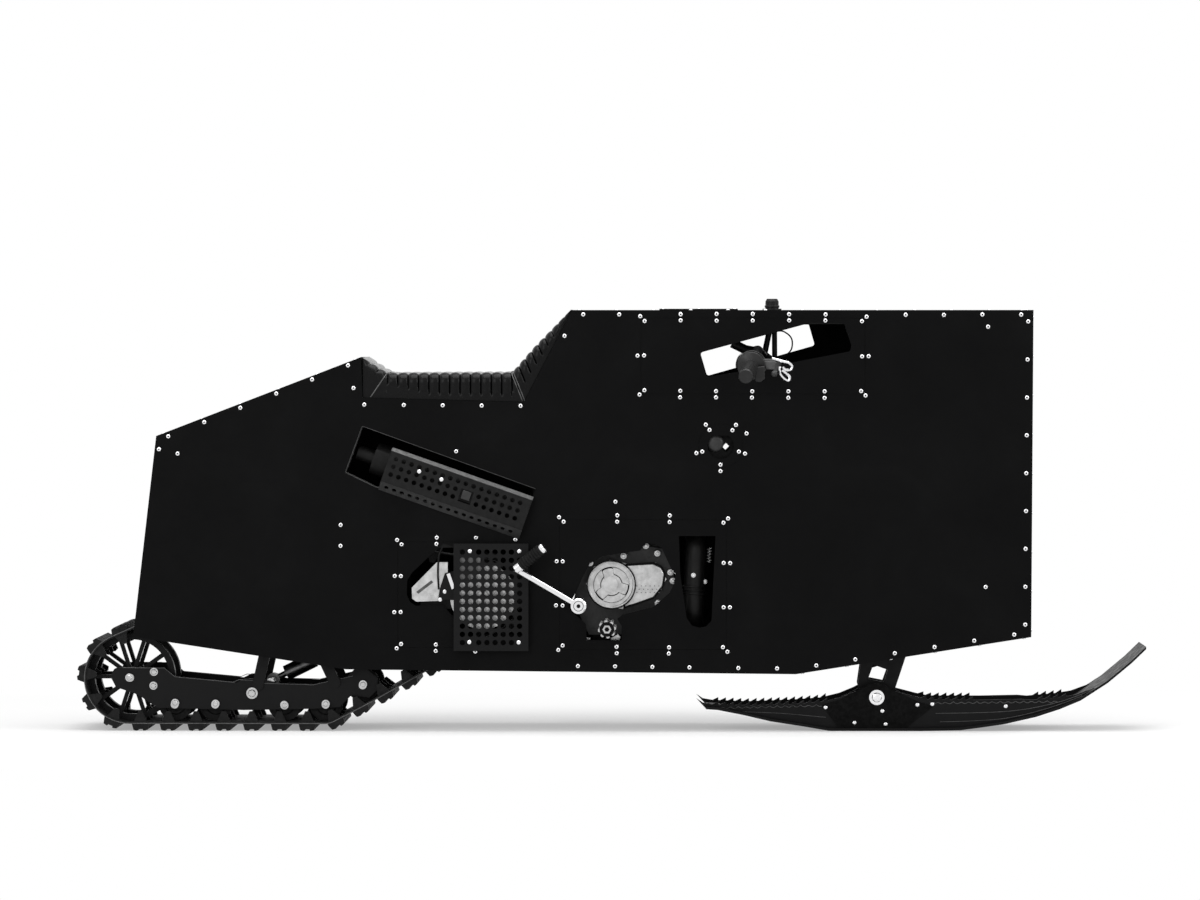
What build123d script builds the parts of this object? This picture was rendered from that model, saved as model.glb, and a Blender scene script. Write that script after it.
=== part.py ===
"""Snowmobile with a flat-sided sheet-metal body, one steered ski and one rear track.

Millimetres, +X forward, +Z up, the vehicle's right side towards -Y.
"""
import os
from math import acos, atan2, cos, degrees, hypot, pi, radians, sin, tan

from build123d import *

# Shared clearances and cuts
FIT = 0.3            # gap between parts that fit on each other
OVERRUN = 10         # how far a cutter runs past what it cuts
HALF = 0.5
QUARTER_TURN = 90
FULL_TURN = 360

# Body shell
BODY_HALF_WIDTH = 160
SHEET = 3
SEAM = 1.2           # visible gap round each inset panel
TUBE = 20            # square tube frame behind the panel edges
TAIL_FOOT = (-1102, 220)
TAIL_TOP = (-1048, 683)
BUMP_TOP = (-575, 865)
SEAT_REAR = (-572, 771)
SEAT_FRONT = (-200, 761)
DASH = (-89, 973)
NOSE_TOP = (971, 973)
NOSE_FOOT = (967, 221)
BELLY_KNEE = (426, 135)
TRACK_FOOT = (-611, 145)
BELLY_REAR_X = -240
TAIL_PANEL_FOOT_Z = 335
BACKING_WIDTH = 28
BACKING_SHEET = 3

# Inset panels: corners x, z
WINDOW_PANEL = ((69, 955), (585, 955), (585, 779), (69, 779))
ENGINE_PANEL = ((-118, 491), (267, 491), (267, 191), (-118, 191))
BRAKE_PANEL = ((-491, 440), (-186, 440), (-186, 195), (-491, 195))
STEERING_SLOT = ((206, 875), (461, 944), (476, 892), (222, 820))
STEERING_SLOT_WIDE = ((206, 875), (461, 944), (536, 943), (553, 892), (550, 878), (414, 852), (222, 819))
SLOT_CORNER = 6
ENGINE_OPENING = (
    (-65, 358), (-49, 389), (-18, 407), (68, 420), (80, 436), (105, 434), (118, 424), (138, 381),
    (149, 366), (146, 344), (136, 323), (99, 290), (27, 272), (15, 262), (25, 245), (25, 213),
    (-55, 213), (-57, 250), (-86, 276), (-98, 292), (-80, 323))
PIPE_OPENING = ((157, 453), (241, 453), (232, 258), (219, 245), (204, 242), (187, 247), (175, 264), (160, 366))
BRAKE_OPENING = (
    (-386, 436), (-408, 415), (-458, 368), (-469, 350), (-470, 318), (-463, 301), (-450, 292),
    (-386, 293), (-363, 266), (-352, 215), (-205, 215), (-205, 425), (-352, 425))
EXHAUST_OPENING = ((-573, 707), (-172, 562), (-215, 470), (-545, 566), (-613, 599))
PORTHOLE = (253, 660)
PORTHOLE_RADIUS = 51.5
PORTHOLE_OPENING_RADIUS = 30
PORTHOLE_FLAT = 24

# Top fittings
TOP_PLATE_FROM = 111
TOP_PLATE_TO = 293
TOP_PLATE_WIDTH = 90
TOP_PLATE_SHEET = 3.5
KNOB_X = 373
KNOB_BASE_RADIUS = 22
KNOB_BASE_HEIGHT = 4
KNOB_RADIUS = 15.5
KNOB_TOP_RADIUS = 12
KNOB_HEIGHT = 21
KNOB_RING_HEIGHT = 6

# Seat
SEAT_HALF_WIDTH = 154
SEAT_SKIN_GAP = 0.4
SEAT_BUMP_FRONT = (-498, 861)
SEAT_BUMP_FOOT = (-515, 829)
SEAT_TOP_FRONT = (-228, 829)
SEAT_PAD_MIDDLE = (-160, 898)

# Steering
RAKE = 20
STEER_BASE = (634, 170)
STEM_RADIUS = 15
STEM_TOP = 735
HEAD_RADIUS = 26
HEAD_FROM = 130
HEAD_TO = 560
HEAD_GAP = 1
CLAMP_THICK = 26
CLAMP_HALF_WIDTH = 34
BAR_RADIUS = 11
BAR_CENTRE = (350, 868)
BAR_CENTRE_HALF = 70
BAR_PANEL = (338, 881)
BAR_PANEL_Y = 172
BAR_FLANGE = (324, 848)
BAR_FLANGE_Y = 250
BAR_END = (309, 822)
BAR_END_Y = 374
BAR_BEND = 24
GRIP_RADIUS = 16
GRIP_FLANGE_RADIUS = 32
GRIP_FLANGE_THICK = 6
GRIP_GAP = 0.3
PERCH_LENGTH = 26
PERCH_RADIUS = 16
PERCH_GAP = 4
LEVER_RADIUS = 5
LEVER_REACH = 62
LEVER_LENGTH = 135

# Ski
SKI_HALF_WIDTH = 100
SKI_RAIL_Y = 78
SKI_RAIL_THICK = 4
SKI_SHEET = 6
PIVOT = (615, 76.5)
PIVOT_RADIUS = 10
SKI_BOTTOM = (
    (219, 50), (247, 48), (304, 37), (369, 22), (447, 10), (505, 0), (714, 0), (808, 2), (853, 8),
    (908, 16), (982, 33), (1037, 51), (1085, 71), (1148, 112), (1203, 158), (1236, 190))
SKI_RAIL_TOP = (
    (197, 74), (212, 64), (235, 60), (318, 57), (420, 61), (488, 66), (532, 77), (573, 94), (596, 105), (615, 109),
    (634, 105), (658, 91), (716, 76), (742, 71), (860, 71), (949, 73), (971, 71), (1037, 77), (1074, 83),
    (1129, 103), (1185, 138), (1222, 179))
SKI_TOOTH_RUNS = ((235, 520), (716, 850), (985, 1060))
SKI_TOOTH_PITCH = 18
SKI_TOOTH_HEIGHT = 7
BRACKET_OUTLINE = ((520, 10), (684, 10), (737, 52), (640, 96), (590, 96), (500, 52))
BRACKET_Y = 62
BRACKET_THICK = 8
SPINDLE_OUTLINE = ((582, 176), (690, 189), (648, 62), (610, 52), (584, 62), (572, 105))
SPINDLE_WINDOW = ((608, 150), (642, 138), (632, 110), (596, 117))
SPINDLE_Y = 42
SPINDLE_THICK = 8

# Track and running gear: centre x, z and radius to the band's inner face
BAND = 5
LUG_HEIGHT = 16
LUG_BASE = 50
LUG_TIP = 24
TRACK_HALF_WIDTH = 125
TRACK_LUGS = 36
LUG_PITCH = 64.4
GROUND_TO_BAND = BAND + LUG_HEIGHT
REAR_WHEEL_RADIUS = 101
REAR_WHEEL_X = -1114
IDLER_RADIUS = 39
IDLER = (-575, 105)
SPROCKET_TEETH = 8
SPROCKET_RADIUS = SPROCKET_TEETH * LUG_PITCH / (pi + pi)
SPROCKET = (-295, 313)
ROLLER_RADIUS = 30
ROLLER_X = -622
ROLLER_Z_LOW = 380
ROLLER_Z_HIGH = 480
ROLLER_STEPS = 30
COG_HEIGHT = 25
COG_LENGTH = 30
COG_Y = 34
COG_WIDTH = 16
REAR_WHEEL_Y = 61
WHEEL_Y = 83
WHEEL_WIDTH = 20
WHEEL_GAP = 0.3
BOGIE_X = (-1011, -917, -757, -661)
BOGIE_RADIUS = 39
RAIL_Y = 99
RAIL_THICK = 6
AXLE_RADIUS = 9
HUB_RADIUS = 22
SPOKES = 10
SPOKE_WIDTH = 9
RIM = 14
RAIL_OUTLINE = (
    (-1161, 125), (-1152, 142), (-1144, 146), (-1066, 146), (-1033, 143), (-1012, 125), (-988, 122),
    (-869, 110), (-851, 119), (-816, 121), (-764, 108), (-690, 105), (-612, 124), (-596, 141), (-564, 141),
    (-541, 122), (-541, 95), (-560, 76), (-602, 82), (-629, 54), (-694, 50), (-850, 47), (-1052, 52), (-1096, 82),
    (-1148, 100))

# Engine and drive
CRANK_CASE = ((-52, 222), (-88, 300), (-60, 400), (40, 432), (130, 420), (150, 340), (110, 250), (66, 222))
ENGINE_FEET_X = ((-44, -12), (22, 54))
ENGINE_FOOT_HALF = 5
CRANK_HALF_WIDTH = 92
CYLINDER_FOOT = (70, 400)
CYLINDER_LEAN = 12
CYLINDER_SIZE = (118, 120, 190)
COVER_CENTRE = (-2, 341)
COVER_RADIUS = 55
COVER_SPACER = 26
COVER_OUTLINE = ((-57, 341), (-40, 380), (-2, 396), (39, 387), (103, 390), (128, 352), (101, 308), (53, 292), (27, 283),
                 (-2, 286), (-40, 301))
COVER_BOSS_RADIUS = 18
COVER_BOSS = 9
KICK_PIVOT = (-73, 294)
KICK_END = (-217, 378)
KICK_PEDAL_END = (-151, 430)
KICK_Y = 200
KICK_RADIUS = 7
KICK_PEDAL_RADIUS = 12
KICK_BOSS_RADIUS = 17
PEG = (-7, 243)
PEG_RADIUS = 17
PEG_FROM = 150
PEG_TO = 258
PEG_MOUNT_RADIUS = 10
SHIFT_PIVOT = (-60, 300)
SHIFT_END = (72, 282)
SHIFT_Y = 172
SHIFT_RADIUS = 6
SHIFT_PAD_RADIUS = 9
SHIFT_PAD_LENGTH = 44
HEADER_RADIUS = 24
HEADER_BEND = 32
HEADER_REACH = 46
EXHAUST_PORT = 100
HEADER_ROUTE = ((196, -108, 430), (190, -108, 280), (192, -40, 200), (100, -8, 188), (-110, -8, 188),
                (-116, -96, 250), (-126, -102, 400), (-148, -112, 491))
MUFFLER_REAR = (-548, 632)
MUFFLER_FRONT = (-205, 511)
MUFFLER_RADIUS = 37
MUFFLER_Y = 112
TAILPIPE_RADIUS = 17
TAILPIPE_LENGTH = 40
TAILPIPE_BORE = 14
TAILPIPE_BORE_DEPTH = 38

# Folded muffler shield
SHIELD_REAR = (-501, 657)
SHIELD_FRONT = (-177, 543)
SHIELD_Y = 186
SHIELD_SHEET = 2
SHIELD_FACE = 81
SHIELD_CHAMFER = 30
SHIELD_HOLE = 11
SHIELD_PITCH = 18
SHIELD_ROWS = 3
SHIELD_COLUMNS = 17

# Flat brake guard
GUARD_RIGHT = -189
GUARD_LEFT = -361
GUARD_TOP = 436
GUARD_FOOT = 189
GUARD_Y = 182
GUARD_SHEET = 2.5
GUARD_COLUMNS = 8
GUARD_ROWS = 12
GUARD_PITCH_X = 18.8
GUARD_PITCH_Z = 18.95
GUARD_HOLE = 12.5
GUARD_POST_RADIUS = 6
DISC_RADIUS = 76
DISC_THICK = 4
DISC_Y = 140
DRIVE_SHAFT_RADIUS = 12.5
CASE_OUTLINE = ((-401, 392), (-459, 333), (-458, 308), (-448, 301), (-390, 303), (-376, 330), (-376, 392))
CASE_DEPTH = 15
CALIPER_OUTLINE = ((-360, 405), (-300, 405), (-300, 370), (-340, 345), (-360, 345))

# Body frame inside the shell
HEAD_BRACE_RADIUS = 10
POST_X = -152
BEARING_Y = 128
BEARING_REAR_X = -440
BEARING_FOOT_Z = 284
BEARING_TOP_Z = 344.7
SHAFT_CROSS = ((-800, 187), (-668, 172))
CROSS_RADIUS = 9
ARM_FEET = ((-818, 106), (-640, 112))
ARM_WIDTH = 26
ARM_THICK = 6
SHOCK_FOOT = (-790, 112)
SHOCK_RADIUS = 18
SHOCK_ROD_RADIUS = 7
SHOCK_EYE_RADIUS = 15
SHOCK_EYE_HALF = 14
SHOCK_BODY_SHARES = (0.24, 0.78)

BODY_OUTLINE = (TAIL_FOOT, TAIL_TOP, BUMP_TOP, SEAT_REAR, SEAT_FRONT, DASH, NOSE_TOP, NOSE_FOOT, BELLY_KNEE, TRACK_FOOT)
INNER_Y = BODY_HALF_WIDTH - SHEET - FIT


def prism(points, y_from, y_to):
    """Solid between two y levels over a closed outline of x, z points."""
    face = Face(Wire.make_polygon([(x, y_from, z) for x, z in points], close=True))
    return extrude(face, amount=y_to - y_from, dir=(0, 1, 0))


def rounded_prism(points, y_from, y_to, radius):
    """As prism, with every corner of the outline rounded."""
    face = Face(Wire.make_polygon([(x, y_from, z) for x, z in points], close=True))
    return extrude(face.fillet_2d(radius, face.vertices()), amount=y_to - y_from, dir=(0, 1, 0))


def rod(start, end, radius):
    """Round bar between two points."""
    axis = Vector(*end) - Vector(*start)
    return Part() + Solid.make_cylinder(radius, axis.length, Plane(origin=start, z_dir=axis))


def pin(centre, radius, y_from, y_to):
    """Round bar along Y at an x, z centre."""
    return rod((centre[0], y_from, centre[1]), (centre[0], y_to, centre[1]), radius)


def ring(centre, outer, inner, y_from, y_to):
    """Round bar along Y with a through bore."""
    return pin(centre, outer, y_from, y_to) - pin(centre, inner, y_from - OVERRUN, y_to + OVERRUN)


def inset(points, depth):
    """Outline moved inwards by a depth; the points run clockwise."""
    moved = []
    for k, corner in enumerate(points):
        before = points[k - 1]
        after = points[(k + 1) % len(points)]
        lines = []
        for a, b in ((before, corner), (corner, after)):
            length = hypot(b[0] - a[0], b[1] - a[1])
            ux, uz = (b[0] - a[0]) / length, (b[1] - a[1]) / length
            lines.append((a[0] + uz * depth, a[1] - ux * depth, ux, uz))
        (ax, az, au, aw), (bx, bz, bu, bw) = lines
        cross = au * bw - aw * bu
        along = ((bx - ax) * bw - (bz - az) * bu) / cross
        moved.append((ax + along * au, az + along * aw))
    return moved


def mirrored(shape):
    """The same shape on the other side of the vehicle."""
    return mirror(shape, about=Plane.XZ)


def axis_point(height):
    """Point of the steering axis that lies a height above its base, along the axis."""
    return (STEER_BASE[0] - height * sin(radians(RAKE)), 0, STEER_BASE[1] + height * cos(radians(RAKE)))


def unit(start, end):
    """Unit vector in x, z."""
    length = hypot(end[0] - start[0], end[1] - start[1])
    return ((end[0] - start[0]) / length, (end[1] - start[1]) / length)


def bent_tube(points, radius, bend):
    """Round bar swept along a polyline with rounded corners."""
    path = FilletPolyline(*points, radius=bend)
    return sweep(Plane(origin=path @ 0, z_dir=path % 0) * Circle(radius), path=path)


pieces = {}
inner_outline = inset(BODY_OUTLINE, SHEET)

# Side panels with their openings
side = prism(BODY_OUTLINE, BODY_HALF_WIDTH - SHEET, BODY_HALF_WIDTH)
for panel in (WINDOW_PANEL, ENGINE_PANEL, BRAKE_PANEL):
    side -= prism(panel, BODY_HALF_WIDTH - SHEET - OVERRUN, BODY_HALF_WIDTH + OVERRUN)
side -= pin(PORTHOLE, PORTHOLE_RADIUS, BODY_HALF_WIDTH - SHEET - OVERRUN, BODY_HALF_WIDTH + OVERRUN)
pieces["side_panel_left"] = side
pieces["side_panel_right"] = mirrored(side) - prism(
    EXHAUST_OPENING, -BODY_HALF_WIDTH - OVERRUN, -BODY_HALF_WIDTH + SHEET + OVERRUN)

# Inset panels, flush in their openings
insets = {}
for name, panel in (("window_panel", WINDOW_PANEL), ("engine_panel", ENGINE_PANEL), ("brake_panel", BRAKE_PANEL)):
    insets[name] = prism(inset(panel, SEAM), BODY_HALF_WIDTH - SHEET, BODY_HALF_WIDTH)


def panel_cut(points, corner=0):
    """Cutter through the left side's sheet."""
    low, high = BODY_HALF_WIDTH - SHEET - OVERRUN, BODY_HALF_WIDTH + OVERRUN
    return rounded_prism(points, low, high, corner) if corner else prism(points, low, high)


pieces["window_panel_left"] = insets["window_panel"] - panel_cut(STEERING_SLOT, SLOT_CORNER)
pieces["window_panel_right"] = mirrored(insets["window_panel"] - panel_cut(STEERING_SLOT_WIDE, SLOT_CORNER))
pieces["engine_panel_left"] = insets["engine_panel"] - panel_cut(ENGINE_OPENING)
pieces["engine_panel_right"] = mirrored(
    insets["engine_panel"] - panel_cut(ENGINE_OPENING) - panel_cut(PIPE_OPENING))
pieces["brake_panel_left"] = insets["brake_panel"]
pieces["brake_panel_right"] = mirrored(insets["brake_panel"] - panel_cut(BRAKE_OPENING))
disc = pin(PORTHOLE, PORTHOLE_RADIUS - SEAM, BODY_HALF_WIDTH - SHEET, BODY_HALF_WIDTH)
hole = pin(PORTHOLE, PORTHOLE_OPENING_RADIUS, BODY_HALF_WIDTH - SHEET - OVERRUN, BODY_HALF_WIDTH + OVERRUN)
hole -= Pos(PORTHOLE[0], BODY_HALF_WIDTH, PORTHOLE[1] + PORTHOLE_FLAT + PORTHOLE_RADIUS) * Box(
    PORTHOLE_RADIUS + PORTHOLE_RADIUS, PORTHOLE_RADIUS + PORTHOLE_RADIUS, PORTHOLE_RADIUS + PORTHOLE_RADIUS)
pieces["porthole_disc_left"] = disc - hole
pieces["porthole_disc_right"] = mirrored(disc - hole)

# Backing strips behind the inset panels
backing = Part()
BACKING_Y = INNER_Y - BACKING_SHEET
for panel in (WINDOW_PANEL, ENGINE_PANEL, BRAKE_PANEL):
    strip = prism(inset(panel, -BACKING_WIDTH * HALF), BACKING_Y, INNER_Y)
    backing += strip - prism(inset(panel, BACKING_WIDTH * HALF), BACKING_Y - OVERRUN, INNER_Y + OVERRUN)
backing += ring(PORTHOLE, PORTHOLE_RADIUS + BACKING_WIDTH * HALF, PORTHOLE_RADIUS - BACKING_WIDTH * HALF,
                BACKING_Y, INNER_Y)


def strip_between(start, end, inner_start, inner_end):
    """Sheet strip along one edge of the outline, a seam short of each mitre."""
    ux, uz = unit(start, end)
    gap = FIT * HALF
    corners = ((start[0] + ux * gap, start[1] + uz * gap), (end[0] - ux * gap, end[1] - uz * gap),
               (inner_end[0] - ux * gap, inner_end[1] - uz * gap),
               (inner_start[0] + ux * gap, inner_start[1] + uz * gap))
    return prism(corners, -INNER_Y, INNER_Y)


def along(start, end, axis, value):
    """Point of a line where one of its two coordinates has a value."""
    share = (value - start[axis]) / (end[axis] - start[axis])
    return (start[0] + share * (end[0] - start[0]), start[1] + share * (end[1] - start[1]))


(tail_foot, tail_top, bump_top, seat_rear, seat_front, dash, nose_top, nose_foot, belly_knee, track_foot) = inner_outline
pieces["tail_panel"] = strip_between(
    along(TAIL_FOOT, TAIL_TOP, 1, TAIL_PANEL_FOOT_Z), TAIL_TOP, along(tail_foot, tail_top, 1, TAIL_PANEL_FOOT_Z), tail_top)
pieces["rear_deck"] = strip_between(TAIL_TOP, BUMP_TOP, tail_top, bump_top)
pan = prism((BUMP_TOP, SEAT_REAR, SEAT_FRONT, DASH, dash, seat_front, seat_rear, bump_top), -INNER_Y, INNER_Y)
pan -= prism((BUMP_TOP, bump_top, (bump_top[0] - FIT, bump_top[1]), (BUMP_TOP[0] - FIT, BUMP_TOP[1])),
             -INNER_Y - OVERRUN, INNER_Y + OVERRUN)
pieces["seat_pan"] = pan
pieces["top_panel"] = strip_between(DASH, NOSE_TOP, dash, nose_top)
pieces["front_panel"] = strip_between(NOSE_TOP, NOSE_FOOT, nose_top, nose_foot)
belly = strip_between(NOSE_FOOT, BELLY_KNEE, nose_foot, belly_knee)
SPINDLE_SLOT_HALF = 92
SPINDLE_SLOT_WIDTH = 156
belly -= Pos(STEER_BASE[0], 0, STEER_BASE[1]) * Box(
    SPINDLE_SLOT_HALF + SPINDLE_SLOT_HALF, SPINDLE_SLOT_WIDTH, SPINDLE_SLOT_WIDTH)
pieces["belly_front"] = belly
pieces["belly_mid"] = strip_between(
    BELLY_KNEE, along(BELLY_KNEE, TRACK_FOOT, 0, BELLY_REAR_X), belly_knee, along(belly_knee, track_foot, 0, BELLY_REAR_X))

# Tube frame behind the edges, with cross tubes, head tube, backbone and cradle
frame_outer = inset(BODY_OUTLINE, SHEET + FIT)
frame_inner = inset(BODY_OUTLINE, SHEET + FIT + TUBE)
frame_middle = inset(BODY_OUTLINE, SHEET + FIT + TUBE * HALF)
ring_solid = prism(frame_outer, INNER_Y - TUBE, INNER_Y) - prism(
    frame_inner, INNER_Y - TUBE - OVERRUN, INNER_Y + OVERRUN)
post = Pos(POST_X, INNER_Y - TUBE * HALF, (SEAT_FRONT[1] + TRACK_FOOT[1]) * HALF) * Box(
    TUBE, TUBE, SEAT_FRONT[1] - TRACK_FOOT[1] + BAND)
ring_solid = ring_solid + (post & prism(frame_outer, -BODY_HALF_WIDTH, BODY_HALF_WIDTH))
bearing = prism(((BEARING_REAR_X, BEARING_FOOT_Z), (BEARING_REAR_X, BEARING_TOP_Z), (POST_X + TUBE, BEARING_TOP_Z),
                 (POST_X + TUBE, BEARING_FOOT_Z)), BEARING_Y, INNER_Y - TUBE + FIT)
bearing -= pin(SPROCKET, DRIVE_SHAFT_RADIUS + FIT, 0, BODY_HALF_WIDTH)
ring_solid += bearing
backing -= ring_solid
pieces["side_frame_left"] = ring_solid
pieces["side_frame_right"] = mirrored(ring_solid)
frame = Part()
cross_reach = INNER_Y - TUBE - FIT
tail_cross = along(frame_middle[0], frame_middle[1], 1, TAIL_PANEL_FOOT_Z + TUBE)
for centre in (tail_cross,) + tuple(frame_middle[1:9]):
    frame += pin(centre, TUBE * HALF, -cross_reach, cross_reach)
belly_cross = along(frame_middle[8], frame_middle[9], 0, POST_X)
frame += pin(belly_cross, TUBE * HALF, -cross_reach, cross_reach)
head_low, head_high = axis_point(HEAD_FROM), axis_point(HEAD_TO)
brace_top = along(frame_middle[5], frame_middle[6], 0, 620)
frame += pin(brace_top, TUBE * HALF, -cross_reach, cross_reach)
head = rod(head_low, head_high, HEAD_RADIUS)


def in_plane(point, y=0):
    """The x, z point as x, y, z."""
    return (point[0], y, point[1])


def brace(start, end):
    """Frame tube between two points."""
    return rod(start, end, HEAD_BRACE_RADIUS)


frame += head
frame += brace(axis_point(HEAD_TO - HEAD_BRACE_RADIUS * 3), in_plane(brace_top))
frame += brace(axis_point(HEAD_TO - HEAD_BRACE_RADIUS * 3), in_plane(frame_middle[4]))
frame += brace(axis_point(HEAD_FROM + HEAD_BRACE_RADIUS * 2), in_plane(frame_middle[7]))
frame += brace(axis_point(HEAD_FROM + HEAD_BRACE_RADIUS * 2), in_plane(frame_middle[8]))
CRADLE_Y = 45
for side_y in (-CRADLE_Y, CRADLE_Y):
    frame += brace(in_plane(frame_middle[8], side_y), in_plane(belly_cross, side_y))
    frame += brace(in_plane(belly_cross, side_y), in_plane(frame_middle[4], side_y))
frame -= rod(axis_point(HEAD_FROM - OVERRUN * 5), axis_point(HEAD_TO + OVERRUN * 5), STEM_RADIUS + HEAD_GAP)
for centre in SHAFT_CROSS:
    frame += pin(centre, CROSS_RADIUS, -cross_reach, cross_reach)
case_foot = CRANK_CASE[0][1] - FIT
for foot_low, foot_high in ENGINE_FEET_X:
    for side_y in (-CRADLE_Y, CRADLE_Y):
        frame += prism(((foot_low, belly_cross[1]), (foot_high, belly_cross[1]), (foot_high, case_foot), (foot_low, case_foot)),
                       side_y - ENGINE_FOOT_HALF, side_y + ENGINE_FOOT_HALF)
pieces["main_frame"] = frame
pieces["backing_strips"] = backing + mirrored(backing)

# Seat on its pan
seat_low = [(x, z) for x, z in inset((BUMP_TOP, SEAT_REAR, SEAT_FRONT, DASH, NOSE_TOP, NOSE_FOOT), -SEAT_SKIN_GAP)]
seat_outline = [seat_low[1], (seat_low[1][0], BUMP_TOP[1]), SEAT_BUMP_FRONT, SEAT_BUMP_FOOT, SEAT_TOP_FRONT,
                SEAT_PAD_MIDDLE, (DASH[0] - SEAT_SKIN_GAP * 2, DASH[1] + SEAT_SKIN_GAP), seat_low[2]]
pieces["seat"] = prism(seat_outline, -SEAT_HALF_WIDTH, SEAT_HALF_WIDTH)

# Top fittings
top_z = NOSE_TOP[1] + FIT
pieces["top_plate"] = Pos((TOP_PLATE_FROM + TOP_PLATE_TO) * HALF, 0, top_z + TOP_PLATE_SHEET * HALF) * Box(
    TOP_PLATE_TO - TOP_PLATE_FROM, TOP_PLATE_WIDTH, TOP_PLATE_SHEET)
knob = rod((KNOB_X, 0, top_z), (KNOB_X, 0, top_z + KNOB_BASE_HEIGHT), KNOB_BASE_RADIUS)
knob += rod((KNOB_X, 0, top_z), (KNOB_X, 0, top_z + KNOB_HEIGHT), KNOB_RADIUS)
knob += Pos(KNOB_X, 0, top_z + KNOB_HEIGHT + KNOB_RING_HEIGHT * HALF) * Cone(
    KNOB_RADIUS, KNOB_TOP_RADIUS, KNOB_RING_HEIGHT)
pieces["top_knob"] = knob

# Steering stem with the bar clamp
stem = rod(axis_point(0), axis_point(STEM_TOP), STEM_RADIUS)
clamp_from = axis_point(STEM_TOP - CLAMP_THICK)
ux, uz = unit((clamp_from[0], clamp_from[2]), BAR_CENTRE)
vx, vz = -uz * CLAMP_THICK * HALF, ux * CLAMP_THICK * HALF
reach = STEM_RADIUS * 1.4
stem += prism((
    (clamp_from[0] - ux * reach + vx, clamp_from[2] - uz * reach + vz),
    (BAR_CENTRE[0] + ux * reach + vx, BAR_CENTRE[1] + uz * reach + vz),
    (BAR_CENTRE[0] + ux * reach - vx, BAR_CENTRE[1] + uz * reach - vz),
    (clamp_from[0] - ux * reach - vx, clamp_from[2] - uz * reach - vz)), -CLAMP_HALF_WIDTH, CLAMP_HALF_WIDTH)
stem -= pin(BAR_CENTRE, BAR_RADIUS + FIT, -BODY_HALF_WIDTH, BODY_HALF_WIDTH)
pieces["steering_stem"] = stem

# Handlebar, grips and levers
bar_points = [(BAR_END[0], -BAR_END_Y, BAR_END[1]), (BAR_FLANGE[0], -BAR_FLANGE_Y, BAR_FLANGE[1]),
              (BAR_PANEL[0], -BAR_PANEL_Y, BAR_PANEL[1]), (BAR_CENTRE[0], -BAR_CENTRE_HALF, BAR_CENTRE[1])]
bar_points += [(x, -y, z) for x, y, z in reversed(bar_points)]
pieces["handlebar"] = bent_tube(bar_points, BAR_RADIUS, BAR_BEND)
grip_axis = Vector(*bar_points[0]) - Vector(*bar_points[1])
grip_dir = grip_axis.normalized()
grip_start = Vector(*bar_points[1]) + grip_dir * BAR_BEND * HALF
grip_end = Vector(*bar_points[0]) + grip_dir * GRIP_GAP
grip = rod(grip_start, grip_end + grip_dir * GRIP_FLANGE_THICK, GRIP_RADIUS)
grip += rod(grip_start, grip_start + grip_dir * GRIP_FLANGE_THICK, GRIP_FLANGE_RADIUS)
grip -= rod(grip_start - grip_dir * OVERRUN, grip_end, BAR_RADIUS + GRIP_GAP)
pieces["grips"] = grip + mirrored(grip)
perch_dir = (Vector(*bar_points[1]) - Vector(*bar_points[2])).normalized()
perch_mid = Vector(*bar_points[1]) - perch_dir * (PERCH_LENGTH * HALF + PERCH_GAP)
perch = rod(perch_mid - perch_dir * PERCH_LENGTH * HALF, perch_mid + perch_dir * PERCH_LENGTH * HALF, PERCH_RADIUS)
perch -= rod(perch_mid - perch_dir * PERCH_LENGTH, perch_mid + perch_dir * PERCH_LENGTH, BAR_RADIUS + GRIP_GAP)
lever_root = perch_mid + Vector(LEVER_REACH, 0, 0)
perch += rod(perch_mid + Vector(PERCH_RADIUS * HALF + BAR_RADIUS * HALF, 0, 0), lever_root, LEVER_RADIUS + 2)
lever_end = lever_root + grip_dir * LEVER_LENGTH
perch += rod(lever_root, lever_end, LEVER_RADIUS) + Pos(*lever_end) * Sphere(LEVER_RADIUS + 2)
pieces["levers"] = perch + mirrored(perch)

# Ski spindle: two side plates on a crosshead below the stem
spindle = Part()
for low, high in ((-SPINDLE_Y, -SPINDLE_Y + SPINDLE_THICK), (SPINDLE_Y - SPINDLE_THICK, SPINDLE_Y)):
    spindle += prism(SPINDLE_OUTLINE, low, high) - prism(SPINDLE_WINDOW, low - OVERRUN, high + OVERRUN)
head_plate = rod(axis_point(-SPINDLE_THICK * 2), axis_point(-FIT), SPINDLE_Y + SPINDLE_THICK)
spindle += head_plate & prism(((560, 140), (560, 260), (710, 260), (710, 140)), -SPINDLE_Y, SPINDLE_Y)
spindle -= pin(PIVOT, PIVOT_RADIUS + FIT, -SPINDLE_Y - OVERRUN, SPINDLE_Y + OVERRUN)
pieces["ski_spindle"] = spindle

# Ski: curved sheet with two saw-toothed rails
ski_inner = [(x, z + SKI_SHEET) for x, z in SKI_BOTTOM]
sole = prism(list(SKI_BOTTOM) + ski_inner[::-1], -SKI_HALF_WIDTH, SKI_HALF_WIDTH)
rail = prism(list(SKI_BOTTOM[::-1]) + list(SKI_RAIL_TOP), SKI_RAIL_Y - SKI_RAIL_THICK, SKI_RAIL_Y)


def rail_height(x):
    """Height of the ski rail's top at a place along it."""
    for start, end in zip(SKI_RAIL_TOP, SKI_RAIL_TOP[1:]):
        if start[0] <= x <= end[0]:
            return along(start, end, 0, x)[1]


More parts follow.
